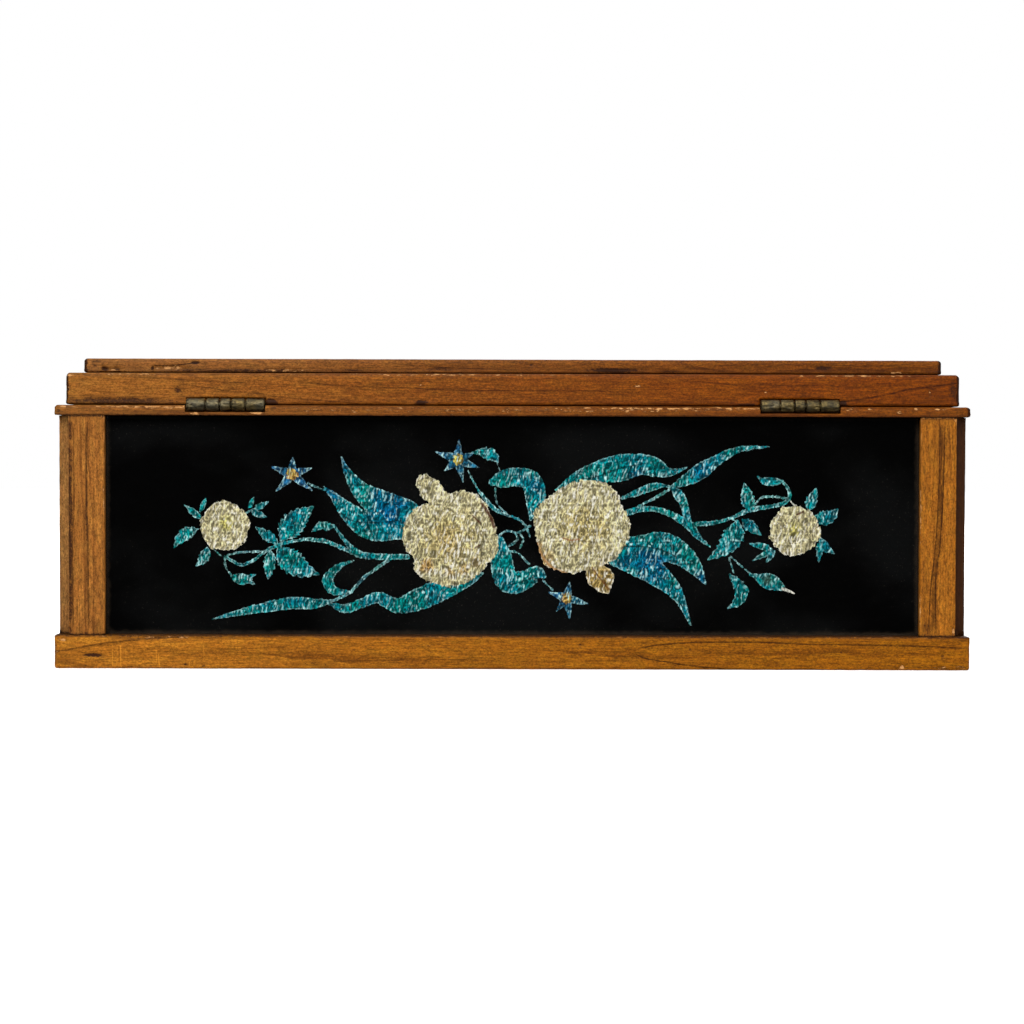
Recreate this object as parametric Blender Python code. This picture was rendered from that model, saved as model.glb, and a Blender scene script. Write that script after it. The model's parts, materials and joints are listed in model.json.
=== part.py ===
"""Hinged trinket box: a wooden frame round panels of black glass backed with crumpled foil.

Lengths are in metres. X runs along the box, Y from its front to its hinge side, and Z up.
The origin is at the centre of the underside. Left is -X and right is +X, as seen from the front.
"""

import math

import bmesh
import bpy
from mathutils import Vector

MM = 0.001

# Clearances: glued joints, the crack between lid and box, and the hinge's moving parts
JOINT_GAP = 0.3 * MM
LID_CRACK = 0.3 * MM
HINGE_GAP = 0.3 * MM

# Body, measured over the faces of the stiles
BODY_LENGTH = 295.4 * MM
BODY_DEPTH = 123.6 * MM
STILE_WIDTH = 11.8 * MM
STILE_HEIGHT = 70.8 * MM
STILE_CHEEK = 2.1 * MM
STILE_REBATE = 3.8 * MM
SIDE_STILE_STEP = 3.9 * MM

# Layers of a panel: a glass pane, the foil behind it, and the board behind the foil
GLASS_THICKNESS = 2.0 * MM
FOIL_THICKNESS = 0.5 * MM
BOARD_THICKNESS = 3.0 * MM

# Base rails and bottom board
BASE_HEIGHT = 10.8 * MM
BASE_OVERHANG = 0.7 * MM
BOTTOM_THICKNESS = 3.0 * MM
BOTTOM_REBATE = 4.0 * MM

# Lip that the lid closes on
LIP_THICKNESS = 3.2 * MM
LIP_OVERHANG = 0.5 * MM
RAIL_LEDGE = 1.0 * MM

# Lid rails, and the bead that holds the lid's glass
LID_RAIL_WIDTH = 15.0 * MM
LID_RAIL_HEIGHT = 10.2 * MM
LID_INSET = 2.8 * MM
LID_REBATE = 6.0 * MM
LID_END_STEP = 0.4 * MM
BEAD_WIDTH = 6.0 * MM
BEAD_HEIGHT = 4.5 * MM
BEAD_SETBACK = 5.3 * MM
BEAD_END_STEP = 0.1 * MM

# Rounded edges
BASE_ROUND = 0.7 * MM
STILE_ROUND = 0.35 * MM
LIP_ROUND = 0.9 * MM
LID_ROUND = 1.1 * MM
BEAD_ROUND = 0.9 * MM
ROUND_SEGMENTS = 3

# Two butt hinges of five knuckles, their leaves let into the lip and the lid, and the distance
# from the middle of each to its end of the lip
HINGE_INSET = 55.2 * MM
KNUCKLE_LENGTHS = (6.1 * MM, 4.3 * MM, 3.4 * MM, 4.3 * MM, 6.1 * MM)
KNUCKLE_RADIUS = 2.1 * MM
PIN_RADIUS = 0.95 * MM
PIN_CLEARANCE = 0.1 * MM
LEAF_WIDTH = 7.0 * MM
LEAF_THICKNESS = 0.9 * MM
AXIS_PROUD = 0.8 * MM
ROUND_SIDES = 24

# Linear colours, roughness and metallic value of each material
WOOD_BASE = ((0.31, 0.11, 0.012), 0.45, 0.0)
WOOD_STILE = ((0.29, 0.105, 0.018), 0.5, 0.0)
WOOD_LIP = ((0.22, 0.075, 0.016), 0.5, 0.0)
WOOD_LID = ((0.24, 0.078, 0.013), 0.42, 0.0)
WOOD_INSIDE = ((0.34, 0.2, 0.09), 0.7, 0.0)
BLACK_GLASS = ((0.004, 0.004, 0.004), 0.08, 0.0)
FOIL = ((0.4, 0.36, 0.22), 0.3, 1.0)
BRASS = ((0.12, 0.09, 0.045), 0.42, 1.0)

# Heights, from the underside up
STILE_LOW = BASE_HEIGHT + JOINT_GAP
STILE_TOP = STILE_LOW + STILE_HEIGHT
LIP_LOW = STILE_TOP + JOINT_GAP
LIP_TOP = LIP_LOW + LIP_THICKNESS
LID_LOW = LIP_TOP + LID_CRACK
LID_TOP = LID_LOW + LID_RAIL_HEIGHT
BEAD_LOW = LID_TOP + JOINT_GAP
BEAD_TOP = BEAD_LOW + BEAD_HEIGHT

# Depths of a wall's layers, inwards from the stile's face
PANE_FACE = STILE_CHEEK + JOINT_GAP
PANE_BACK = PANE_FACE + GLASS_THICKNESS
FOIL_FACE = PANE_BACK + JOINT_GAP
STILE_THICKNESS = FOIL_FACE + FOIL_THICKNESS
BOARD_FACE = STILE_THICKNESS + JOINT_GAP
WALL = BOARD_FACE + BOARD_THICKNESS

# Half sizes in plan, along X and Y
BODY = Vector((BODY_LENGTH, BODY_DEPTH)) / 2
HOLLOW = BODY - Vector((WALL, WALL))
RAIL_INSIDE = HOLLOW - Vector((RAIL_LEDGE, RAIL_LEDGE))
BASE = BODY + Vector((BASE_OVERHANG, BASE_OVERHANG))
LIP = BODY + Vector((LIP_OVERHANG, LIP_OVERHANG))
LID = LIP - Vector((LID_INSET, LID_INSET))
LID_INSIDE = LID - Vector((LID_RAIL_WIDTH, LID_RAIL_WIDTH))
LID_POCKET = LID_INSIDE + Vector((LID_REBATE, LID_REBATE))
LID_PANEL = LID_POCKET - Vector((JOINT_GAP, JOINT_GAP))
BEAD = LID - Vector((BEAD_SETBACK, BEAD_SETBACK))
BOTTOM_POCKET = RAIL_INSIDE + Vector((BOTTOM_REBATE, BOTTOM_REBATE))
BOTTOM = BOTTOM_POCKET - Vector((JOINT_GAP, JOINT_GAP))

# Hinge axis, and what lies round it
AXIS_Y = LID.y + AXIS_PROUD
AXIS_Z = (LIP_TOP + LID_LOW) / 2
HINGE_LENGTH = sum(KNUCKLE_LENGTHS) + HINGE_GAP * (len(KNUCKLE_LENGTHS) - 1)
HINGE_X = {"left": HINGE_INSET - LIP.x, "right": LIP.x - HINGE_INSET}

FACES = {
    "left": (0, -1),
    "right": (0, 1),
    "front": (1, -1),
    "rear": (1, 1),
    "under": (2, -1),
    "top": (2, 1),
}


def clear_scene():
    for old in list(bpy.data.objects):
        bpy.data.objects.remove(old, do_unlink=True)


def link(name, mesh, centre, parent=None):
    obj = bpy.data.objects.new(name, mesh)
    bpy.context.scene.collection.objects.link(obj)
    obj.location = centre
    if parent:
        obj.parent = parent
        obj.location = Vector(centre) - parent.location
    return obj


def guide(name, location):
    empty = bpy.data.objects.new(name, None)
    bpy.context.scene.collection.objects.link(empty)
    empty.location = location
    return empty


def paint(obj, look):
    """Gives a piece its own material."""
    colour, roughness, metallic = look
    material = bpy.data.materials.new(obj.name + "_finish")
    material.use_nodes = True
    shader = material.node_tree.nodes["Principled BSDF"]
    shader.inputs["Base Color"].default_value = (*colour, 1.0)
    shader.inputs["Roughness"].default_value = roughness
    shader.inputs["Metallic"].default_value = metallic
    obj.data.materials.append(material)


def faces_of(edge):
    """The names of the two sides of a box that meet at an edge, from their normals."""
    names = set()
    for face in edge.link_faces:
        for name, (axis, sign) in FACES.items():
            if face.normal[axis] * sign > 0.5:
                names.add(name)
    return names


def add_box(mesh, low, high, centre):
    corners = bmesh.ops.create_cube(mesh, size=1.0)["verts"]
    for corner in corners:
        for axis in range(3):
            share = corner.co[axis] + 0.5
            corner.co[axis] = low[axis] + share * (high[axis] - low[axis]) - centre[axis]


def board(name, low, high, look, exposed=(), radius=0.0, parent=None):
    """A board from corner to corner. An edge between two exposed sides is rounded."""
    centre = (Vector(low) + Vector(high)) / 2
    shape = bmesh.new()
    add_box(shape, low, high, centre)
    shape.normal_update()
    weight = shape.edges.layers.float.new("bevel_weight_edge")
    for edge in shape.edges:
        edge[weight] = 1.0 if faces_of(edge) <= set(exposed) else 0.0
    mesh = bpy.data.meshes.new(name)
    shape.to_mesh(mesh)
    shape.free()
    obj = link(name, mesh, centre, parent)
    paint(obj, look)
    if exposed:
        rounding = obj.modifiers.new("rounded_edges", "BEVEL")
        rounding.limit_method = "WEIGHT"
        rounding.width = radius
        rounding.segments = ROUND_SEGMENTS
    return obj


def piece(name, shape):
    mesh = bpy.data.meshes.new(name)
    shape.to_mesh(mesh)
    shape.free()
    return link(name, mesh, (0, 0, 0))


def helper(name, shape):
    """A shape that only cuts or joins, and isn't a piece."""
    obj = piece(name, shape)
    obj.hide_render = True
    obj.display_type = "WIRE"
    return obj


def pocket(name, boxes):
    shape = bmesh.new()
    for low, high in boxes:
        add_box(shape, low, high, (0, 0, 0))
    return helper(name, shape)


def bar_shape(spans, radius, x):
    """Round bars on the hinge axis, one for each span along it."""
    shape = bmesh.new()
    for start, end in spans:
        bar = bmesh.ops.create_cone(
            shape,
            cap_ends=True,
            segments=ROUND_SIDES,
            radius1=radius,
            radius2=radius,
            depth=end - start,
        )
        for vert in bar["verts"]:
            along, across, up = vert.co.z, vert.co.x, vert.co.y
            vert.co = (x + (start + end) / 2 + along, AXIS_Y + across, AXIS_Z + up)
    return shape


def combine(obj, other, operation):
    modifier = obj.modifiers.new(other.name, "BOOLEAN")
    modifier.operation = operation
    modifier.solver = "EXACT"
    modifier.object = other


def cut(obj, cutter):
    combine(obj, cutter, "DIFFERENCE")


def ring(prefix, outer, width, low, high, end_step, radius, look, parent=None):
    """Four rails, butted. Those at front and rear run through and the side rails stand between
    them, proud of their ends by end_step."""
    rails = {}
    for side in ("front", "rear"):
        sign = FACES[side][1]
        y = sorted((sign * (outer.y - width), sign * outer.y))
        rails[side] = board(
            f"{prefix}_{side}",
            (end_step - outer.x, y[0], low),
            (outer.x - end_step, y[1], high),
            look,
            (side, "left", "right", "top", "under"),
            radius,
            parent,
        )
    reach = outer.y - width - JOINT_GAP
    for side in ("left", "right"):
        sign = FACES[side][1]
        x = sorted((sign * (outer.x - width), sign * outer.x))
        rails[side] = board(
            f"{prefix}_{side}",
            (x[0], -reach, low),
            (x[1], reach, high),
            look,
            (side, "top", "under"),
            radius,
            parent,
        )
    return rails


def plan_box(half, low, high):
    """Corners of a box centred on the Z axis, from its half sizes in plan and its heights."""
    return (-half.x, -half.y, low), (half.x, half.y, high)


def wall_box(side, half_run, depths, heights):
    """Corners of a flat layer in one wall, from its depths behind the stile's face."""
    axis, sign = FACES[side]
    face = BODY[axis]
    across = sorted((sign * (face - depths[0]), sign * (face - depths[1])))
    low = [-half_run, -half_run, heights[0]]
    high = [half_run, half_run, heights[1]]
    low[axis], high[axis] = across
    return low, high


def make_base():
    rails = ring(
        "base_rail",
        BASE,
        BASE.x - RAIL_INSIDE.x,
        0.0,
        BASE_HEIGHT,
        0.0,
        BASE_ROUND,
        WOOD_BASE,
    )
    rebate_top = BOTTOM_THICKNESS + JOINT_GAP
    hole = pocket("bottom_pocket", [plan_box(BOTTOM_POCKET, -JOINT_GAP, rebate_top)])
    for rail in rails.values():
        cut(rail, hole)
    board("bottom_board", *plan_box(BOTTOM, 0.0, BOTTOM_THICKNESS), WOOD_INSIDE)


def stile_edges():
    """Where each wall's stiles begin and end, measured along the wall from its middle."""
    outer = {
        "rear": BODY.x - SIDE_STILE_STEP,
        "right": BODY.y - STILE_THICKNESS - JOINT_GAP,
    }
    outer["front"] = outer["rear"]
    outer["left"] = outer["right"]
    return {side: (edge - STILE_WIDTH, edge) for side, edge in outer.items()}


def make_stiles():
    ends = {"front": ("left", "right"), "rear": ("left", "right")}
    ends.update({"left": ("front", "rear"), "right": ("front", "rear")})
    for side, (inner, outer) in stile_edges().items():
        axis, sign = FACES[side]
        run = 1 - axis
        for end in ends[side]:
            end_sign = FACES[end][1]
            along = sorted((end_sign * inner, end_sign * outer))
            across = sorted((sign * (BODY[axis] - STILE_THICKNESS), sign * BODY[axis]))
            low = [0.0, 0.0, STILE_LOW]
            high = [0.0, 0.0, STILE_TOP]
            low[run], high[run] = along
            low[axis], high[axis] = across
            name = f"stile_{side}_{end}"
            both_edges = ("left", "right") if axis == 1 else ("front", "rear")
            stile = board(name, low, high, WOOD_STILE, (side, *both_edges), STILE_ROUND)
            depths = (STILE_CHEEK, STILE_THICKNESS + JOINT_GAP)
            heights = (STILE_LOW - JOINT_GAP, STILE_TOP + JOINT_GAP)
            rebate = wall_box(side, inner + STILE_REBATE, depths, heights)
            cut(stile, pocket(name + "_rebate", [rebate]))


def make_walls():
    heights = (STILE_LOW, STILE_TOP)
    board_run = {"rear": BODY.x - STILE_THICKNESS - JOINT_GAP, "right": HOLLOW.y - JOINT_GAP}
    board_run["front"] = board_run["rear"]
    board_run["left"] = board_run["right"]
    for side, (inner, _outer) in stile_edges().items():
        pane_run = inner + STILE_REBATE - JOINT_GAP
        pane = wall_box(side, pane_run, (PANE_FACE, PANE_BACK), heights)
        foil = wall_box(side, pane_run, (FOIL_FACE, STILE_THICKNESS), heights)
        back = wall_box(side, board_run[side], (BOARD_FACE, WALL), heights)
        board(f"glass_{side}", *pane, BLACK_GLASS)
        board(f"foil_{side}", *foil, FOIL)
        board(f"inner_board_{side}", *back, WOOD_INSIDE)


def barrel_notch(x):
    """Corners of the cut that clears one hinge's barrel, open towards the rear."""
    reach = KNUCKLE_RADIUS + HINGE_GAP
    half = HINGE_LENGTH / 2 + HINGE_GAP
    behind = LIP.y + reach
    low = (x - half, AXIS_Y - reach, AXIS_Z - reach)
    high = (x + half, behind, AXIS_Z + reach)
    return low, high


def leaf_mortise(x):
    """Corners of the cut that takes both leaves of one hinge, half in the lip, half in the lid."""
    half = HINGE_LENGTH / 2 + HINGE_GAP
    rise = LID_CRACK / 2 + LEAF_THICKNESS + HINGE_GAP
    low = (x - half, AXIS_Y - LEAF_WIDTH - HINGE_GAP, AXIS_Z - rise)
    high = (x + half, AXIS_Y, AXIS_Z + rise)
    return low, high


def make_hinge_cuts():
    notches = pocket("barrel_notches", [barrel_notch(x) for x in HINGE_X.values()])
    mortises = pocket("leaf_mortises", [leaf_mortise(x) for x in HINGE_X.values()])
    return notches, mortises


def make_lip(hinge_cuts):
    width = LIP.x - RAIL_INSIDE.x
    rails = ring("lip_rail", LIP, width, LIP_LOW, LIP_TOP, 0.0, LIP_ROUND, WOOD_LIP)
    for cutter in hinge_cuts:
        cut(rails["rear"], cutter)


def make_lid(hinge_cuts, lid_axis):
    rails = ring(
        "lid_rail",
        LID,
        LID_RAIL_WIDTH,
        LID_LOW,
        LID_TOP,
        LID_END_STEP,
        LID_ROUND,
        WOOD_LID,
        lid_axis,
    )
    ring(
        "lid_bead",
        BEAD,
        BEAD_WIDTH,
        BEAD_LOW,
        BEAD_TOP,
        BEAD_END_STEP,
        BEAD_ROUND,
        WOOD_LID,
        lid_axis,
    )
    pane_low = LID_TOP - GLASS_THICKNESS
    foil_top = pane_low - JOINT_GAP
    foil_low = foil_top - FOIL_THICKNESS
    board_top = foil_low - JOINT_GAP
    board_low = board_top - BOARD_THICKNESS
    pane = plan_box(LID_PANEL, pane_low, LID_TOP)
    foil = plan_box(LID_PANEL, foil_low, foil_top)
    back = plan_box(LID_PANEL, board_low, board_top)
    board("lid_glass", *pane, BLACK_GLASS, parent=lid_axis)
    board("lid_foil", *foil, FOIL, parent=lid_axis)
    board("lid_board", *back, WOOD_INSIDE, parent=lid_axis)
    pocket_box = plan_box(LID_POCKET, board_low - JOINT_GAP, LID_TOP + JOINT_GAP)
    seat = pocket("lid_panel_pocket", [pocket_box])
    for rail in rails.values():
        cut(rail, seat)
    for cutter in hinge_cuts:
        cut(rails["rear"], cutter)


def knuckle_spans():
    """Start and end of each knuckle along the hinge, from its middle."""
    spans = []
    start = -HINGE_LENGTH / 2
    for length in KNUCKLE_LENGTHS:
        spans.append((start, start + length))
        start += length + HINGE_GAP
    return spans


def make_leaf(name, x, above, own, others, bore, parent=None):
    """One leaf: a plate let into the wood, joined to its own knuckles and cleared for the rest."""
    near = LID_CRACK / 2
    heights = (near, near + LEAF_THICKNESS) if above else (-near - LEAF_THICKNESS, -near)
    plate_edge = AXIS_Y - (KNUCKLE_RADIUS + PIN_RADIUS + PIN_CLEARANCE) / 2
    low = (x - HINGE_LENGTH / 2, AXIS_Y - LEAF_WIDTH, AXIS_Z + heights[0])
    high = (x + HINGE_LENGTH / 2, plate_edge, AXIS_Z + heights[1])
    leaf = board(name, low, high, BRASS, parent=parent)
    reach = KNUCKLE_RADIUS + HINGE_GAP
    clears = []
    for start, end in others:
        clear_low = (x + start - HINGE_GAP, AXIS_Y - reach, AXIS_Z - reach)
        clear_high = (x + end + HINGE_GAP, AXIS_Y + reach, AXIS_Z + reach)
        clears.append((clear_low, clear_high))
    cut(leaf, pocket(name + "_clearance", clears))
    knuckles = helper(name + "_knuckles", bar_shape(own, KNUCKLE_RADIUS, x))
    combine(leaf, knuckles, "UNION")
    cut(leaf, bore)


def make_hinges(lid_axis):
    spans = knuckle_spans()
    fixed, moving = spans[0::2], spans[1::2]
    ends = (spans[0][0], spans[-1][1])
    through = (ends[0] - HINGE_GAP, ends[1] + HINGE_GAP)
    for side, x in HINGE_X.items():
        bore = helper(f"bore_{side}", bar_shape([through], PIN_RADIUS + PIN_CLEARANCE, x))
        make_leaf(f"hinge_leaf_box_{side}", x, False, fixed, moving, bore)
        make_leaf(f"hinge_leaf_lid_{side}", x, True, moving, fixed, bore, lid_axis)
        pin = piece(f"hinge_pin_{side}", bar_shape([ends], PIN_RADIUS, x))
        pin.data.shade_smooth()
        pin.data.set_sharp_from_angle(angle=math.radians(40))
        paint(pin, BRASS)


def main():
    clear_scene()
    lid_axis = guide("lid_axis", (0.0, AXIS_Y, AXIS_Z))
    make_base()
    make_stiles()
    make_walls()
    hinge_cuts = make_hinge_cuts()
    make_lip(hinge_cuts)
    make_lid(hinge_cuts, lid_axis)
    make_hinges(lid_axis)


main()
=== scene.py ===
"""Looks of the hinged trinket box: worn varnished wood, black glass over crumpled foil, brass hinges.

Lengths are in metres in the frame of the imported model: X along the box, Y from its front to its
hinge side, Z up. The photograph shows the hinge side, so its left is +X.
"""

import json
import math

import bmesh
import bpy
import numpy as np
from mathutils import Matrix, Vector, noise

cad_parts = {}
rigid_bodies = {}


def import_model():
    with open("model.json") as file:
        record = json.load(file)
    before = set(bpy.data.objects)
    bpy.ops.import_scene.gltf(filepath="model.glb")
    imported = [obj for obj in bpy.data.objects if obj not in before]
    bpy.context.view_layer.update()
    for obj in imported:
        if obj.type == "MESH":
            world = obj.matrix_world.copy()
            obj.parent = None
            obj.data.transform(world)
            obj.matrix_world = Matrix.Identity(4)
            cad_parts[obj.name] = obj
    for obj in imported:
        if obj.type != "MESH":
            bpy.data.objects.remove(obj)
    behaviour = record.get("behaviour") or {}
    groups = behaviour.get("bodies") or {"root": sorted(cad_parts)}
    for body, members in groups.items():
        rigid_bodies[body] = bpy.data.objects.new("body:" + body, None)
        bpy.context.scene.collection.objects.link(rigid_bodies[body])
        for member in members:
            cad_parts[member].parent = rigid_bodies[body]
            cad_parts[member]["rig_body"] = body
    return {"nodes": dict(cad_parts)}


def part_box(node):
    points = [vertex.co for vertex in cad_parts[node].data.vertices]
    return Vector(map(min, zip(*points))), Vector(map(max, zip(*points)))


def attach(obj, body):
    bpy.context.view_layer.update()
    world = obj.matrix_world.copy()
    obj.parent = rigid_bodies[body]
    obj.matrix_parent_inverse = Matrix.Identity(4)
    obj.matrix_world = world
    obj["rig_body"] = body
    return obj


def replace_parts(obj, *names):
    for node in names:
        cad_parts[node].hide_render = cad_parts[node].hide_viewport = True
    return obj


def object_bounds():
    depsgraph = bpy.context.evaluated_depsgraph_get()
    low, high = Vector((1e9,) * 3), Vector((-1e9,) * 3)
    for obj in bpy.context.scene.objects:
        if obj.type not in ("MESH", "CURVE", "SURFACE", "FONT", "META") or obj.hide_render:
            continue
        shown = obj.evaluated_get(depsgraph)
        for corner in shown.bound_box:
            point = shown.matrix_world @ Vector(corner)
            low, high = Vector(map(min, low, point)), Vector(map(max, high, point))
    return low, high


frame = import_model()
CAD_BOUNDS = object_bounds()
NODES = frame["nodes"]

MM = 0.001
WELD = 1e-6

# The photograph's camera: its place, its turns in degrees (half a turn and its yaw, level and its
# pitch, then its roll), and its focal length in pixels
PHOTO_SIZE = 1024
PHOTO_FOCAL = 2400
CAMERA_PLACE = Vector((2.9, 838.4, 72.65)) * MM
CAMERA_TURNS = (180 - 0.2, "Z"), (90 - 1.59, "X"), (0.16, "Z")
SENSOR = 36

# The foil sprays are drawn in units of one photograph pixel at the panel, with u to the right and
# v down as seen from outside, round the middle of the panel
UNIT = 0.3256 * MM
PANEL_MIDDLE = (512.5, 525.7)


def srgb(red, green, blue):
    """Linear colour from 0 to 255 display values."""
    return tuple(((c / 255 + 0.055) / 1.055) ** 2.4 if c > 10 else c / 255 / 12.92
                 for c in (red, green, blue))


# For each kind of board its mean colour, how far its edges are worn and how far the solid's edges
# are rounded, in millimetres, and the sides, as (axis, sign), along which dirt gathers together with
# painted shade, where boards meet and on the rounded ends of the lid's rail and bead
BOARDS = {
    "base_rail": (srgb(131, 79, 8), 0.4, 0.7, ((2, 1),)),
    "stile": (srgb(130, 80, 17), 0.14, 0.35, ((2, 1), (2, -1))),
    "lip_rail": (srgb(109, 62, 10), 0.45, 0.9, ((2, -1),)),
    "lid_rail": (srgb(110, 61, 6), 0.4, 1.1, ((2, -1), (0, 1))),
    "lid_bead": (srgb(112, 65, 13), 0.35, 0.9, ((2, -1), (0, 1), (0, -1))),
}
INNER_WOOD = srgb(160, 124, 82)
RAW_WOOD = srgb(178, 128, 76)
WORN_WOOD = srgb(168, 112, 56)
# Dark colour of dirt, also used for painted shade
GRIME_AND_SHADE = srgb(36, 17, 7)

# Colours of the foil
CREAM = srgb(184, 174, 131)
STRAW = srgb(180, 158, 90)
SILVER = srgb(188, 190, 176)
TEAL = srgb(2, 110, 114)
BLUE = srgb(1, 78, 122)
NAVY = srgb(24, 80, 108)
STEM = srgb(48, 104, 106)
GOLD = srgb(182, 150, 72)
OLIVE = srgb(164, 156, 48)
RUST = srgb(74, 14, 8)
OCHRE = srgb(162, 114, 33)
BUD = srgb(158, 134, 76)
RIB = srgb(4, 24, 30)


class Look:
    """The nodes of a material or a world, and short ways to make and link them."""

    def __init__(self, name, kind="materials", shader="Principled BSDF"):
        self.owner = getattr(bpy.data, kind).new(name)
        self.owner.use_nodes = True
        self.tree = self.owner.node_tree
        self.shader = self.tree.nodes[shader]

    def feed(self, socket, value):
        """Puts a link or a constant on a socket."""
        if isinstance(value, bpy.types.NodeSocket):
            self.tree.links.new(value, socket)
        else:
            socket.default_value = value

    def set(self, **values):
        """Feeds the shader's sockets, by name with _ for a space."""
        for name, value in values.items():
            self.feed(self.shader.inputs[name.replace("_", " ")], value)

    def node(self, kind, *values, **settings):
        """A new node, with values on its first sockets where they aren't None."""
        made = self.tree.nodes.new("ShaderNode" + kind)
        for key, value in settings.items():
            setattr(made, key, value)
        for socket, value in zip(made.inputs, values):
            if value is not None:
                self.feed(socket, value)
        return made

    def math(self, operation, a, b=0):
        return self.node("Math", a, b, operation=operation).outputs[0]

    def plus(self, a, b):
        return self.math("ADD", a, b)

    def by(self, a, b):
        return self.math("MULTIPLY", a, b)

    def place(self, turn=(0, 0, 0), shift=(0, 0, 0)):
        """Object coordinates in millimetres, turned and shifted."""
        coords = self.node("TexCoord").outputs["Object"]
        return self.node("Mapping", coords, shift, turn, (1 / MM,) * 3).outputs[0]

    def noise(self, place, stretch, detail=2, roughness=0.5):
        """Noise whose grains are 1 / stretch millimetres long on each axis. The last value of
        stretch stands for the axes left out."""
        stretch = (*stretch, *stretch[-1:] * 2)[:3]
        spot = self.node("VectorMath", place, stretch, operation="MULTIPLY").outputs[0]
        return self.node("TexNoise", spot, None, 1, detail, roughness).outputs[0]

    def scale(self, value, start, end):
        """A value from 0 to 1 brought to the range start to end."""
        return self.node("MapRange", value, None, None, start, end).outputs[0]

    def step(self, value, low, high, start=0, end=1):
        """start where a value is below low, end where it is over high, and smooth between."""
        return self.node("MapRange", value, low, high, start, end,
                         interpolation_type="SMOOTHSTEP").outputs[0]

    def mix(self, share, a, b, amount=1, blend="MIX"):
        """Colour a turned towards colour b by share times amount."""
        share = share if amount == 1 else self.by(share, amount)
        return self.node("Mix", share, *[None] * 5, opaque(a), opaque(b), data_type="RGBA",
                         blend_type=blend).outputs[2]

    def shade(self, colour, value, *ramp):
        """A colour multiplied by a step of a value."""
        return self.mix(1, colour, self.step(value, *ramp), blend="MULTIPLY")

    def stripe(self, along, across, points, width):
        """1 on a line through (along, across) points in millimetres, 0 off it."""
        starts, levels = zip(*sorted(points))
        low, high = min(levels), max(levels) + 0.01
        first, last = starts[0], starts[-1]
        part = self.node("MapRange", along, first, last, clamp=False).outputs[0]
        line = self.node("FloatCurve", None, part)
        knots = line.mapping.curves[0].points
        for _ in points[2:]:
            knots.new(0.5, 0.5)
        for knot, start, level in zip(knots, starts, levels):
            knot.location = (start - first) / (last - first), (level - low) / (high - low)
        line.mapping.update()
        away = self.math("SUBTRACT", across, self.scale(line.outputs[0], low, high))
        away = self.math("ABSOLUTE", away)
        shown = self.math("SUBTRACT", self.step(part, -0.03, 0.05), self.step(part, 0.95, 1.03))
        return self.by(shown, self.step(away, width, width * 0.25))

    def ragged(self, name, noise, share, low, high):
        """A step of a value stored on the mesh, broken up by a noise."""
        stored = self.node("Attribute", attribute_name=name).outputs["Fac"]
        return self.step(self.plus(stored, self.by(self.plus(noise, -0.5), share)), low, high)

    def bump(self, height, depth):
        """A normal from a height of 0 to 1 that stands for depth in metres."""
        return self.node("Bump", 1, depth, None, height).outputs[0]


def opaque(colour):
    """A colour with its alpha. Links and whole colours stay as they are."""
    return (*colour, 1) if isinstance(colour, tuple) and len(colour) == 3 else colour


def times(colour, factor):
    return tuple(c * factor for c in colour)


# Wood


GRAIN_TURN = {"x": (0, 0, 0), "y": (0, 0, -math.pi / 2), "z": (0, math.pi / 2, 0)}
BOX_LENGTH = CAD_BOUNDS[1][0] - CAD_BOUNDS[0][0]
RING_SPACING = 2.3
RING_SCALE = math.tau / 20 / RING_SPACING


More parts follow.
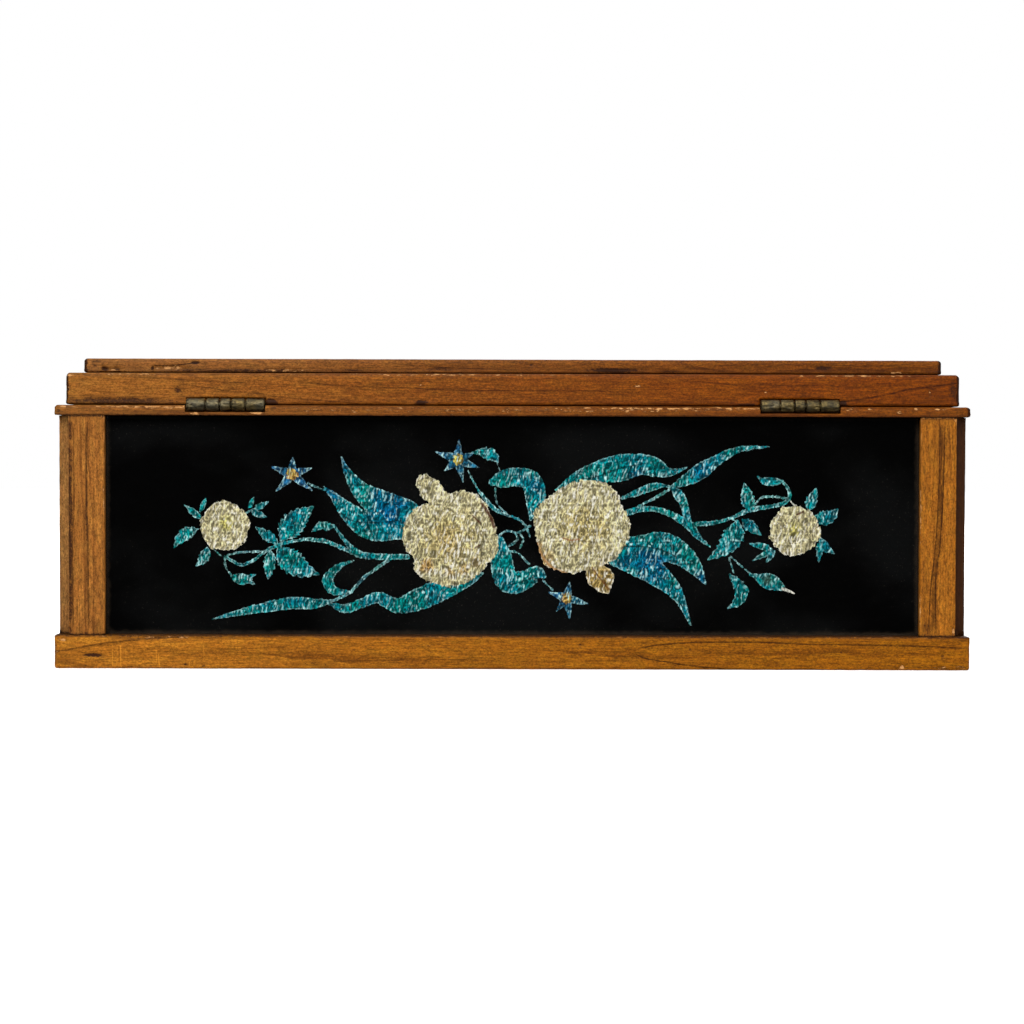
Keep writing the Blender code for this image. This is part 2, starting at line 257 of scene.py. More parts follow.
def wood(name, run, tone, seed, figure=1, gloss=1, lines=(), fade=()):
    """Wood with its grain along one axis: faint year rings cut at a slant, fibres, pores, drawn
    grain lines, wear and dirt, which also carry painted highlight and painted shade. A line with a
    share below 0 is a light scratch. fade holds what the colour is multiplied by at the box's right
    and left ends, as the photograph shows them."""
    look = Look(name)
    mix, step, by = look.mix, look.step, look.by
    chance = np.random.default_rng(seed)
    turn = Vector(GRAIN_TURN[run]) + Vector((0, *chance.uniform(-0.012, 0.012, 2)))
    place = look.place(turn, chance.uniform((-400, 8, -42), (400, 22, -26)))

    streaks = look.noise(place, (0.012, 0.3), 4, 0.6)
    colour = mix(streaks, times(tone, 0.58), times(tone, 1.46))
    mottle = look.noise(place, (0.16, 0.5), 4, 0.65)
    ruddy = tone[0] * 0.8, tone[1] * 0.6, tone[2] * 0.6
    colour = mix(step(mottle, 0.4, 0.68, 0.45, 0), colour, ruddy)

    wander = look.noise(place, (0.009, 0.02), 3, 0.55)
    sway = look.node("VectorMath", (0, 16, 16), None, None, wander, operation="SCALE").outputs[0]
    rings = look.node("TexWave", look.node("VectorMath", place, sway).outputs[0], RING_SCALE, 2.2,
                      2, 0.35, wave_type="RINGS", rings_direction="X", wave_profile="SAW")
    bands = step(look.noise(place, (0.006, 0.22)), 0.42, 0.68)
    late = by(step(rings.outputs["Fac"], 0.55, 0.97), bands)
    colour = mix(late, colour, times(ruddy, 0.45), 0.6 * figure)

    fibres = look.noise(place, (0.1, 3.2), 4, 0.7)
    colour = look.shade(colour, fibres, 0.32, 0.68, 0.7, 1.16)
    colour = look.shade(colour, look.noise(place, (0.3, 1.7), 3, 0.7), 0.3, 0.7, 0.74, 1.26)
    specks = look.noise(place, (1.3, 2.2), 3, 0.75)
    colour = look.shade(colour, specks, 0.36, 0.64, 0.66, 1.32)
    clusters = step(look.noise(place, (0.012, 0.6), 2, 0.6), 0.38, 0.7, 0.3, 1)
    pores = by(clusters, step(look.noise(place, (0.28, 3.6), 2, 0.6), 0.6, 0.7))
    colour = mix(pores, colour, times(ruddy, 0.3), 0.5 * figure)

    own = look.node("SeparateXYZ", look.place()).outputs
    flecks = look.noise(place, (0.5, 1.6), 3, 0.7)
    for points, (along, across), width, share in lines:
        shaky = look.plus(own[across], by(flecks, 0.5))
        line = look.stripe(own[along], shaky, [(a, b + 0.25) for a, b in points], width)
        line = by(line, step(flecks, 0.3, 0.6, 0.35, 1))
        ink = times(ruddy, 0.1) if share > 0 else times(tone, 2.6)
        colour = mix(line, colour, ink, abs(share))
    if fade:
        half = BOX_LENGTH / 2 / MM
        part = look.node("MapRange", own[0], -half, half).outputs[0]
        colour = mix(1, colour, mix(by(part, part), *fade), blend="MULTIPLY")

    speckle = look.noise(place, (0.35, 0.9), 3, 0.7)
    worn = look.ragged("edge", speckle, 0.9, 0.87, 1.17)
    chip = mix(specks, times(RAW_WOOD, 0.5), times(RAW_WOOD, 1.3))
    # The dirt mask also lays painted shade along joints, on rounded ends and in shadowed strips, and
    # the raw masks lay painted highlight along top edges
    for mask, ink, share in ((look.ragged("edge", flecks, 0.9, 0.65, 1.05), times(ruddy, 0.3), 0.5),
                             (worn, WORN_WOOD, 0.7),
                             (look.ragged("grime_and_shade", specks, 2.2, 0.45, 0.95), GRIME_AND_SHADE, 0.94),
                             (look.ragged("raw", flecks, 1.8, 0.32, 0.46), GRIME_AND_SHADE, 0.4),
                             (look.ragged("raw", flecks, 1.8, 0.46, 0.66), chip, 1)):
        colour = mix(mask, colour, ink, share)

    rough = look.plus(look.scale(mottle, 0.36, 0.56), by(worn, 0.2))
    relief = look.math("SUBTRACT", look.scale(fibres, 0, 0.5), pores)
    look.set(Base_Color=colour, Roughness=look.plus(rough, 0.25 * (1 - gloss)),
             Specular_IOR_Level=0.05 * gloss, Normal=look.bump(relief, 0.06 * MM))
    return look.owner


def node_run(node):
    """The axis that the wood's grain follows in a node."""
    if node.startswith("stile"):
        return "z"
    return "y" if node.endswith(("left", "right")) else "x"


def cuts(low, high, step):
    """Places that cut low to high into equal parts of about one step."""
    count = max(1, round((high - low) / step))
    return [low + (high - low) * i / count for i in range(1, count)]


def fine_mesh(node, steps, extra=()):
    """A node's mesh, cut into small faces. extra holds further cuts as (axis, place)."""
    shape = bmesh.new()
    shape.from_mesh(NODES[node].data)
    bmesh.ops.remove_doubles(shape, verts=shape.verts, dist=WELD)
    bmesh.ops.dissolve_limit(
        shape, angle_limit=math.radians(0.5), verts=shape.verts, edges=shape.edges)
    low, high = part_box(node)
    planes = [(axis, place) for axis in range(3)
              for place in cuts(low[axis], high[axis], steps[axis])]
    for axis, place in (*planes, *extra):
        slice_shape(shape, shape.verts[:] + shape.edges[:] + shape.faces[:], axis, place)
    shape.normal_update()
    return shape


def slice_shape(shape, parts, axis, place):
    """Cuts parts of a shape by a plane across an axis, and returns them with the new ones."""
    across = Vector((axis == 0, axis == 1, axis == 2))
    made = bmesh.ops.bisect_plane(
        shape, geom=parts, dist=2 * WELD, plane_co=across * place, plane_no=across)
    return made["geom"]


MARK_INWARD = 2.2


class Mark:
    """A chip, dent or scuff in the rear face of a board, or a patch of painted shade or painted
    highlight on it, at x and z with its reach that way in millimetres, how raw and light it is, how
    dark it is with dirt or painted shade, and its depth."""

    def __init__(self, node, x, z, reach_x, reach_z, raw=0, grime_and_shade=0, depth=0.1):
        self.middle = Vector((x * MM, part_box(node)[1].y, z * MM))
        self.reach = Vector((reach_x, MARK_INWARD, reach_z)) * MM
        self.depth = depth * MM
        self.raw, self.grime_and_shade = raw, grime_and_shade

    def share(self, point):
        """1 at its middle and 0 outside it, with a ragged rim."""
        away = Vector((point - self.middle)[i] / self.reach[i] for i in range(3)).length
        ragged = 0.35 * noise.noise(point / (1.3 * MM))
        return min(1, max(0, 1.35 * (1 - away) + ragged)) if away < 1.3 else 0

    def refine(self, shape):
        """Cuts the faces round it more finely, so that its shape shows."""
        room = self.reach * 1.3 + Vector((1, 1, 1)) * MM
        room.y = 1.2 * MM
        faces = [face for face in shape.faces
                 if all(abs(d) < r for d, r in zip(face.calc_center_median() - self.middle, room))]
        found = set(faces)
        for face in faces:
            found.update(face.edges, face.verts)
        for axis in (0, 2):
            reach, middle = self.reach[axis] * 1.2, self.middle[axis]
            for place in cuts(middle - reach, middle + reach, max(MARK_STEP, reach / 6)):
                found = set(slice_shape(shape, list(found), axis, place))


def add(name, data):
    """A new object in the scene."""
    obj = bpy.data.objects.new(name, data)
    bpy.context.scene.collection.objects.link(obj)
    return obj


def add_piece(name, mesh, material, body):
    """A new piece that rides on a body."""
    mesh.materials.append(material)
    obj = add(name, mesh)
    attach(obj, body)
    return obj


def mesh_object(name, shape, material, body, sharp=38):
    """Turns a bmesh into a piece."""
    bmesh.ops.triangulate(shape, faces=[f for f in shape.faces if len(f.verts) > 4])
    mesh = bpy.data.meshes.new(name)
    shape.to_mesh(mesh)
    shape.free()
    mesh.shade_smooth()
    mesh.set_sharp_from_angle(angle=math.radians(sharp))
    return add_piece(name, mesh, material, body)


EDGE_REACH = 1.6 * MM
GRIME_AND_SHADE_REACH = 1.2 * MM
JOINT_SWELL = 0.12 * MM
JOINT_WEAR = 0.2


def weather(shape, node, wear, rounding, marks, grimy_and_shaded_sides):
    """Wears edges, makes marks, and stores edge, raw and dirt for the wood's material, the dirt
    value also carrying painted shade. The listed sides of the node's box, as (axis, sign), get dirt
    and painted shade along them. Where such a side is the top or the underside it meets another
    board, so it is worn less and squarer than its rounding, and swells to close the joint."""
    low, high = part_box(node)
    edge, raw, grime_and_shade = (shape.verts.layers.float.new(key) for key in ("edge", "raw", "grime_and_shade"))
    moves = []
    for vert in shape.verts:
        point = vert.co
        gaps = {(axis, sign): (high[axis] - point[axis]) if sign > 0 else (point[axis] - low[axis])
                for axis in range(3) for sign in (-1, 1)}
        near = sorted(min(gaps[axis, -1], gaps[axis, 1]) for axis in range(3))[1]
        near = max(0, 1 - near / EDGE_REACH)
        slow = 0.5 + 0.5 * noise.noise(point / (14 * MM))
        quick = noise.noise(point / (3.2 * MM))
        joint = [side[1] for side in grimy_and_shaded_sides if side[0] == 2 and gaps[side] < EDGE_REACH]
        sink = wear * near * near * max(0, slow + 0.5 * quick) * (JOINT_WEAR if joint else 1)
        sink += 0.02 * MM * (1 + quick)
        vert[edge] = near * (0.8 + 0.35 * (point.z - low.z) / (high.z - low.z))
        for mark in marks:
            share = mark.share(point)
            sink += mark.depth * share
            vert[raw] = max(vert[raw], mark.raw * share)
            vert[grime_and_shade] = max(vert[grime_and_shade], mark.grime_and_shade * share)
        # Painted shade, with dirt, along the listed sides: where boards meet and on the lid's rail and
        # bead ends
        for side in grimy_and_shaded_sides:
            vert[grime_and_shade] = max(vert[grime_and_shade], 0.9 * (1 - gaps[side] / GRIME_AND_SHADE_REACH))
        move = -sink * vert.normal
        for sign in joint:
            slope = vert.normal.z * sign
            if slope > 0.98:
                move.z = sign * JOINT_SWELL
            elif slope > 0.02:
                move += vert.normal * rounding * 0.66 * slope * math.sqrt(1 - slope * slope)
        moves.append(move)
    for vert, move in zip(shape.verts, moves):
        vert.co += move
        for i in (0, 1):
            vert.co[i] = min(high[i], max(low[i], vert.co[i]))


# What has happened to the boards on the hinge side, with some painted shade and painted highlight:
# x, z, reach in x and z, how raw, how dark with dirt or painted shade, and the depth where it isn't
# the usual one
MARKS = {
    "lid_rail_rear": [
        # (145.2, 90.8, ...): painted shade on the rounded end of the rail
        (145.2, 90.8, 1.5, 16, 0, 1.8), (144.2, 91, 1.4, 1.6, 0.5, 0, 0.4),
        (143.6, 95.2, 2.6, 1, 0.75, 0, 0.35), (139.6, 93.4, 2.2, 1, 0, 0.6),
        (140.6, 92.4, 1.4, 0.5, 0, 0.8), (128, 86.2, 36, 3.8, 0, 0.88, 0.05),
        (108.7, 90.4, 2.2, 2.4, 0, 0.8, 0.12), (107.4, 92.4, 3.4, 4.2, 0, 0.58, 0),
        (-40, 92, 2.4, 0.5, 0.65, 0, 0.06), (29.5, 86.5, 2.9, 1.2, 0, 1.4, 0.2),
        # (-107, 86.4, ...) and (78.6, 86.4, ...): notches darkened as painted shadow of the hinge
        # barrels
        (-107, 86.4, 2.4, 1.8, 0, 1.5, 0.2), (78.6, 86.4, 3.4, 1.7, 0, 1.5, 0.2),
        (-136, 88.5, 11, 4.6, 0, 0.5, 0), (-142.8, 91, 2.6, 5.6, 0, 0.8),
        # (-144.8, 90.8, ...): painted shade on the other rounded end
        (-144.8, 90.8, 1.3, 16, 0, 1.6, 0.05), (-76.5, 86, 5, 0.9, 0, 1.3), (-82, 90, 1.4, 0.6, 0.55),
        (30, 92.3, 1.2, 0.5, 0.65, 0, 0.05), (-135.2, 89.8, 1, 2.6, 0.5, 0, 0.05),
        # Light strips along the top edge: wear with painted highlight
        (-110, 95.6, 34, 0.7, 0.58), (122, 95.6, 24, 0.8, 0.55), (20, 95.6, 90, 0.7, 0.52, 0, 0.05),
    ],
    "lid_bead_rear": [
        # (139.9, 98.4, ...): painted shade on the rounded end of the bead
        (139.9, 98.4, 1.5, 14, 0, 1.8, 0.05), (133.2, 97.3, 2, 1.5, 0, 1.3, 0.6),
        (129.4, 97.1, 3.4, 1.3, 0.5, 0.8, 0.4), (135.6, 99.8, 3, 1.1, 0, 0.8),
        (136.4, 98.4, 2.2, 1.8, 0, 0.65), (112, 97.6, 6.6, 1.2, 0.75, 0, 0.5),
        (117.6, 97.5, 0.8, 1.5, 0, 1.4, 0.4), (103.8, 99.4, 2.8, 0.9, 0, 1.2, 0.25),
        (74, 96.9, 12, 0.8, 0.55), (90, 96.6, 50, 1.5, 0, 0.8, 0.05), (-6, 99, 1.2, 0.8, 0, 0.9, 0.2),
        (-33, 97.2, 14, 1.4, 0, 1.15), (-52, 96.9, 9, 0.9, 0, 0.8), (52, 97, 8, 0.9, 0, 0.8),
        (24, 97.6, 8, 1.4, 0, 0.8), (-101, 98.2, 5, 1.4, 0, 0.9), (-107, 97.6, 2, 0.7, 0, 0.6),
        # (-139.9, 98.4, ...): painted shade on the other rounded end
        (-139.9, 98.4, 1.4, 14, 0, 1.8, 0.05), (-125, 96.7, 12, 0.4, 0.5),
        (0, 97.6, 170, 1.8, 0, 0.42, 0),
    ],
    "lip_rail_rear": [
        (-115.8, 84.9, 2.4, 1, 0.62, 0, 0.25), (-125, 83.6, 1.8, 1, 0.6, 0, 0.2),
        (-130.5, 85, 1.6, 1, 0.62, 0, 0.25), (-137, 84.8, 4.6, 0.9, 0.62, 0, 0.2),
        # (-147.6, 84, ...): a chip at the end, darkened as painted shade
        (-56, 85.2, 8, 0.6, 0.5, 0, 0.15), (-9, 84.6, 3.4, 0.6, 0.45), (-147.6, 84, 1, 6, 0, 1.3, 0.2),
        (-109, 84.4, 3, 1, 0.45, 0, 0.15), (102.6, 82.7, 2.6, 0.9, 0.85, 0, 0.25),
        (82.6, 82.9, 3.4, 0.8, 0.8, 0, 0.25), (146.8, 83.4, 2.4, 1.4, 0, 0.7),
        # Long light strips near the top edge are wear with painted highlight, and long dark strips near
        # the lower edge are painted shade on the rounded underside
        (144, 85, 4.6, 0.7, 0.55, 0, 0.2), (40, 84.9, 20, 0.5, 0.42), (77.4, 84.6, 1.8, 1.4, 0, 0.8),
        (110, 83, 46, 1.5, 0, 0.55, 0), (112, 84.9, 40, 1, 0.6, 0, 0.05), (-60, 84.8, 90, 0.9, 0.56),
        (-60, 83.2, 90, 1.3, 0, 0.45, 0), (0, 83.9, 170, 1.6, 0.33, 0, 0),
    ],
    "base_rail_rear": [
        (147.8, 5.4, 1.3, 9, 0.3, 0.5, 0.3), (24, 5.6, 4.6, 0.5, 0.5, 0, 0.03),
        (19.5, 3.8, 3.4, 0.4, 0.5, 0, 0.03), (27, 7.8, 2.6, 0.4, 0.45, 0, 0.03),
        (-126.5, 1.2, 1.4, 1.2, 0.9, 0, 0.35), (-139, 0.9, 3.4, 0.8, 0.62, 0, 0.3),
        (-145.6, 1, 2.2, 0.9, 0.62, 0, 0.25), (-139.6, 4.8, 1.3, 0.8, 0, 0.9, 0.3),
        (135.5, 4.4, 5.6, 1, 0, 1.2, 0.15), (124, 0.8, 2, 0.9, 0, 0.7),
        (144.5, 2.4, 2.8, 1.4, 0, 0.5, 0.05), (105.7, 1.5, 2, 0.8, 0, 0.75), (100, 1, 1.4, 0.9, 0, 0.8),
        (109, 1.2, 3, 0.5, 0, 0.6), (146, 9.4, 3, 1, 0.5), (139, 0.8, 5, 1, 0, 0.7),
        (-22, 8.2, 0.8, 0.6, 0, 0.9, 0.15), (120, 9.8, 18, 1.2, 0, 0.6, 0),
        (-57.6, 6.8, 0.7, 0.6, 0, 0.9, 0.15), (-106.6, 5.9, 0.7, 0.6, 0, 0.9, 0.15),
        (110, 10.2, 34, 0.8, 0.42, 0.6), (64, 1.8, 12, 2, 0, 0.6, 0), (0, 0.4, 145, 0.9, 0, 0.5, 0.05),
        (142, 6.4, 7, 4, 0, 0.45, 0),
    ],
    "stile_rear_left": [
        (-132.1, 20, 0.5, 12, 0.65), (-132.1, 50, 0.5, 26, 0.55),
        (-143.3, 12.6, 1.2, 1.8, 0.8, 0, 0.25), (-134.8, 14, 3, 4, 0, 0.7, 0.05),
        (-137.4, 70, 5, 16, 0, 0.42, 0),
    ],
    "stile_rear_right": [
        # (143.2, 44, ...): painted shade in the gap against the side stile
        (132.2, 55, 0.5, 9, 0.5), (137.9, 44, 1.3, 60, 0, 0.62, 0.05), (143.2, 44, 1.5, 80, 0, 0.95),
        (140.4, 60, 3, 40, 0, 0.45, 0), (136, 14, 5, 4, 0, 0.55, 0), (136, 78, 6, 4, 0, 0.55, 0),
    ],
    "stile_right_rear": [
        (147.2, 46, 0.8, 200, 0, 0.5, 0),
    ],
    "stile_left_rear": [
        # Painted shadow of the rear stile on this recessed end
        (-145.6, 46, 9, 300, 0, 1.45, 0),
    ],
}
# Dark lines of the grain on the same boards, as points (x, z), or (z, x) on the stiles, with a
# width and a share. A share below 0 is a light scratch, whose points are (z, x)
LINES = {
    "base_rail_rear": [
        ([(149, 5.4), (143, 6.3), (138, 7.3), (130.6, 8.4), (115.7, 9.9), (106, 10.4)], 0.5, 0.8),
        ([(131, 4), (118, 5.4), (100, 6.2), (72, 7)], 0.25, 0.35),
        ([(-39.5, 6.2), (-44, 7.6), (-50, 8.4), (-65, 9.1), (-80, 9.1), (-95, 8.5), (-125, 8.1),
          (-147, 7.3)], 0.4, 0.85),
        ([(-39.5, 6.2), (-42.5, 4), (-50, 2.6), (-57.4, 1.5), (-68.6, 0.4)], 0.4, 0.85),
        ([(60, 2.4), (20, 3.2), (-20, 2.6), (-36, 4.4)], 0.3, 0.3),
        ([(0.6, 129.4), (8.4, 129.5)], 0.2, -0.3), ([(1.4, 128), (7.4, 127.9)], 0.2, -0.25),
        ([(0.4, 126.7), (7.8, 126.8)], 0.22, -0.5), ([(3, 125), (6.6, 125.1)], 0.18, -0.25),
        ([(0.3, 114.3), (4.8, 114.5)], 0.24, -0.45), ([(2, 115.2), (7, 115.3)], 0.2, -0.3),
        ([(4, 99.8), (8, 100)], 0.2, -0.3), ([(0.6, 104.6), (3, 104.6)], 0.2, -0.25),
    ],
    "lid_rail_rear": [
        ([(-100, 86.4), (-113, 87.9), (-121, 89.4), (-130, 91.4), (-137, 92.2),
          (-145, 93.4)], 0.5, 0.7),
        ([(69, 92.9), (59, 92.2), (47, 91.5), (36, 91.2), (13, 90.4), (-17, 90.4),
          (-36, 90.2)], 0.35, 0.55),
        ([(80, 88.6), (69, 87.5), (59, 86.8), (49, 86.1)], 0.3, 0.6),
        ([(108, 92.2), (100, 91.2), (90, 89.8), (80, 89.2)], 0.35, 0.5),
        ([(140, 95.2), (120, 94.3), (100, 93.2), (86, 92.6)], 0.3, 0.5),
        ([(138, 90), (124, 89.2), (112, 88.8)], 0.25, 0.35),
        ([(-60, 93.6), (-90, 92.4), (-112, 92.9)], 0.35, 0.4),
    ],
    "lid_bead_rear": [
        ([(117, 98.4), (112, 98.3), (107, 98.9), (102, 99.4)], 0.35, 0.9),
        ([(36, 98.9), (20, 97.9), (2, 97.4)], 0.25, 0.6),
        ([(-62, 98.2), (-90, 99.2), (-118, 98.6)], 0.25, 0.5),
    ],
    "lip_rail_rear": [
        ([(120, 84.2), (90, 83.4), (60, 83.9)], 0.25, 0.4),
    ],
    "stile_rear_right": [
        ([(14, 137.2), (40, 137.5), (60, 137.9), (80, 137.4)], 0.5, 0.8),
        ([(14, 141.8), (34, 142.4), (62, 141.9), (80, 142.6)], 0.4, 0.7),
    ],
    "stile_rear_left": [
        ([(13, -136.6), (24, -136.6), (40, -138), (60, -138.8), (80, -139)], 1.1, 0.6),
        ([(13, -135), (26, -135.6), (42, -137.2), (60, -138), (80, -138.2)], 0.35, 0.9),
        ([(13, -137.4), (26, -137.2), (42, -138.6), (60, -139.5), (80, -139.8)], 0.35, 0.9),
    ],
}
# What the long boards' colours are multiplied by at their right and left ends
FADES = {
    "base_rail_rear": ((0.82, 0.82, 0.5), (1.22, 1.36, 3.4)),
    "lip_rail_rear": ((0.78, 0.68, 0.4), (1.15, 1.42, 3.6)),
    "lid_rail_rear": ((0.74, 0.56, 0.05), (1.3, 1.7, 6)),
    "lid_bead_rear": ((0.75, 0.66, 0.4), (1.25, 1.6, 4.6)),
    "stile_rear_right": ((1, 1, 1), (0.95, 1.04, 2.4)),
    "stile_right_rear": ((1, 1, 1), (0.95, 1.25, 4.4)),
}
# How finely boards are cut on each axis, by the way of their grain, in millimetres
FINE_STEPS = {"x": (1.1, 1.6, 1.5), "y": (1.6, 1.4, 1.5), "z": (1.5, 1.5, 1.6)}
COARSE = 1.7
MARK_STEP = 0.35 * MM


def grain_lines(node, run, seed):
    """The grain lines drawn on a board: those of the photograph, or two that wander along it."""
    along = "xyz".index(run)
    across = 2 if run != "z" else 0 if node.split("_")[1] in ("front", "rear") else 1
    if node in LINES:
        return [(points, (2, 0) if share < 0 else (along, across), width, share)
                for points, width, share in LINES[node]]
    low, high = (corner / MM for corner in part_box(node))
    chance = np.random.default_rng(seed)
    lines = []
    for _ in range(2):
        start = chance.uniform(0.2, 0.8) + np.cumsum(chance.normal(0, 0.12, 6))
        levels = low[across] + (high[across] - low[across]) * np.clip(start, 0.08, 0.92)
        places = np.linspace(low[along] + 2, high[along] - 2, 6)
        lines.append((list(zip(places, levels)), (along, across), 0.35, chance.uniform(0.3, 0.6)))
    return lines


def make_wood():
    """Replaces each board that shows outside with a worn one."""
    boards = [(node, kind) for node in sorted(NODES) for kind in BOARDS
              if node.startswith(kind)]
    for seed, (node, kind) in enumerate(boards, 11):
        tone, wear, rounding, grimy_and_shaded_sides = BOARDS[kind]
        run = node_run(node)
        marks = [Mark(node, *row) for row in MARKS.get(node, ())]
        share = MM if "rear" in node else COARSE * MM
        shape = fine_mesh(node, [s * share for s in FINE_STEPS[run]])
        for mark in marks:
            mark.refine(shape)
        weather(shape, node, wear * MM, rounding * MM, marks, grimy_and_shaded_sides)
        look = wood(f"{node}_wood", run, tone, seed, lines=grain_lines(node, run, seed),
                    fade=FADES.get(node, ()))
        body = NODES[node]["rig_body"]
        board = mesh_object(f"{node}_board", shape, look, body)
        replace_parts(board, node)


def finish_inside():
    """Bare wood on the boards that line the box and its lid."""
    for seed, node in enumerate(sorted(NODES), 70):
        if node.startswith("inner_board") or node in ("bottom_board", "lid_board"):
            look = wood(f"{node}_wood", node_run(node), INNER_WOOD, seed, 0.7, 0.3)
            dress(node, look)


def dress(node, material):
    """Gives a CAD node a new material, and returns it."""
    solid = NODES[node]
    solid.data.materials.clear()
    solid.data.materials.append(material)
    return solid


# Black glass over foil


def clear_glass():
    """A clear pane with faint smears."""
    look = Look("pane_glass")
    smear = look.step(look.noise(look.place(), (0.05, 0.05, 0.02), 4, 0.6), 0.5, 0.9)
    look.set(Transmission_Weight=1, IOR=1.45, Roughness=0,
             Base_Color=look.mix(smear, (1, 1, 1), (0.88, 0.88, 0.86)))
    return look.owner


def black_paint():
    """The black coat behind the glass, with a dusty rim, faint lighter patches painted in as a
    reflection, and flecks.
    """
    look = Look("black_paint")
    place = look.place()
    # Painted reflection: faint lighter patches across the black
    painted_reflection_haze = look.step(look.noise(place, (0.02, 0.02, 0.03), 3, 0.55), 0.4, 0.64)
    colour = look.mix(painted_reflection_haze, srgb(2, 2, 2), srgb(11, 12, 12))
    fleck = look.step(look.noise(place, (1.2,), 4, 0.75), 0.59, 0.7)
    colour = look.mix(look.by(fleck, look.scale(painted_reflection_haze, 0.03, 0.14)), colour, srgb(130, 122, 108))
    dust = look.ragged("edge", look.noise(place, (0.4,), 4, 0.65), 1, 0.35, 1)
    look.set(Base_Color=look.mix(dust, colour, srgb(58, 48, 38), 0.45),
             Roughness=look.scale(painted_reflection_haze, 0.35, 0.5), Specular_IOR_Level=0.01)
    return look.owner


def foil_look(name, metal, rough):
    """Tinted foil. Its colour, which carries painted glints and painted shade, and the larger creases
    are stored on the mesh, the finest are here.
    """
    look = Look(name)
    crease = look.noise(look.place(), (3.2, 3.2, 1.6), 3, 0.6)
    tint_and_painted_light = look.node("Attribute", attribute_name="tint_and_painted_light").outputs["Color"]
    # The fine creases' hollows are darkened in the colour as painted shade
    look.set(Base_Color=look.shade(tint_and_painted_light, crease, 0.36, 0.58, 0.7, 1),
             Roughness=look.scale(crease, rough - 0.08, rough + 0.08),
             Normal=look.bump(crease, 0.12 * MM), Metallic=metal, Specular_IOR_Level=0.04)
    return look.owner


def smooth_curve(points, count):
    """Points on a smooth curve through the given ones, of any number of coordinates."""
    knots = np.array(points, float)
    if len(knots) == 2:
        return knots[0] + (knots[1] - knots[0]) * np.linspace(0, 1, count)[:, None]
    padded = np.vstack([2 * knots[0] - knots[1], knots, 2 * knots[-1] - knots[-2]])
    place = np.linspace(0, len(knots) - 1, count)
    span = np.minimum(place.astype(int), len(knots) - 2)
    t = (place - span)[:, None]
    a, b, c, d = (padded[span + i] for i in range(4))
    return 0.5 * (2 * b + (c - a) * t + (2 * a - 5 * b + 4 * c - d) * t ** 2
                  + (3 * b - a - 3 * c + d) * t ** 3)


LATTICE = np.random.default_rng(5).random((64, 64))


def field(u, v, layer=0):
    """Smooth noise from 0 to 1 on a plane, for arrays."""
    u, v = u + 17.3 * layer, v + 9.7 * layer
    i, j = np.floor(u).astype(int), np.floor(v).astype(int)
    s, t = (w * w * (3 - 2 * w) for w in (u - i, v - j))
    low, high = (LATTICE[(i + a) % 64, j % 64] * (1 - t) + LATTICE[(i + a) % 64, (j + 1) % 64] * t
                 for a in (0, 1))
    return low * (1 - s) + high * s


def creases(u, v):
    """Crumpled foil, from 0 in its hollows to 1 on its ridges, which are short, thin and upright,
    and the short strokes along them where glints are painted."""
    lean_u = u + 0.2 * v + 3 * (field(u / 6, v / 8, 1) - 0.5)
    lean_v = v + 3 * (field(u / 8, v / 8, 2) - 0.5)
    total = 0
    for width, share, layer in ((1.7, 0.6, 3), (1.2, 0.4, 4)):
        level = field(lean_u / width, lean_v / (2.2 * width), layer)
        total = total + share * (1 - np.minimum(1, 3.2 * np.abs(level - 0.5)))
    return total, field(lean_u / 1.05, lean_v / 3.3, 12) + 0.25 * (total - 0.5)


# How deep a leaf's teeth are as a share of its width
BITE = 0.26
DUST_REACH = 2.4 * MM
# Width of the foil's cells on the hinge side and elsewhere, in photograph pixels, and their height
# as a share of it
FINE_CELL = 0.52
PLAIN_CELL = 0.8
CELL_HEIGHT = 1.25
# A depth that is outside every shape
OUTSIDE = 9.0


class Stroke:
    """A leaf, petal, ribbon or stem: a curve with a width at each point. Its outline may have
    teeth. rag is how far its cut edge strays."""

    def __init__(self, points, colour, teeth=0):
        count = max(12, 8 * len(points))
        curve = smooth_curve(points, count)
        self.line = curve[:, :2]
        self.half = np.maximum(curve[:, 2], 0.4) / 2
        if teeth:
            phase = np.linspace(0, teeth, count * 3) % 1
            place = np.linspace(0, count - 1, count * 3)
            self.line = np.stack([np.interp(place, range(count), self.line[:, i])
                                  for i in (0, 1)], 1)
            self.half = np.interp(place, range(count), self.half) * (1 - BITE + BITE * phase)
        self.colour = colour
        self.rag = 3.2 if colour == CREAM else 1.2
        reach = self.half.max() + 3
        self.low, self.high = self.line.min(0) - reach, self.line.max(0) + reach

    def distance(self, u, v):
        """Signed distance to the outline, negative inside."""
        best = np.full(u.shape, 1e9)
        width = np.zeros(u.shape)
        for start, end, r0, r1 in zip(self.line[:-1], self.line[1:], self.half[:-1], self.half[1:]):
            run = end - start
            length = max(1e-9, run @ run)
            t = np.clip(((u - start[0]) * run[0] + (v - start[1]) * run[1]) / length, 0, 1)
            away = np.hypot(u - start[0] - t * run[0], v - start[1] - t * run[1])
            nearer = away < best
            best = np.where(nearer, away, best)
            width = np.where(nearer, r0 + (r1 - r0) * t, width)
        return best - width


class Rose:
    """A full round flower. Its rim is given by radii at even angles, from the right and down."""

    def __init__(self, middle, radii, colour, rag=2.8):
        self.middle, self.radii, self.colour, self.rag = middle, radii, colour, rag
        reach = max(radii) + 3
        self.low, self.high = np.array(middle) - reach, np.array(middle) + reach

    def distance(self, u, v):
        across, down = u - self.middle[0], v - self.middle[1]
        turn = (np.arctan2(down, across) / math.tau) % 1
        even = np.linspace(0, 1, len(self.radii) + 1)
        return np.hypot(across, down) - np.interp(turn, even, (*self.radii, self.radii[0]))


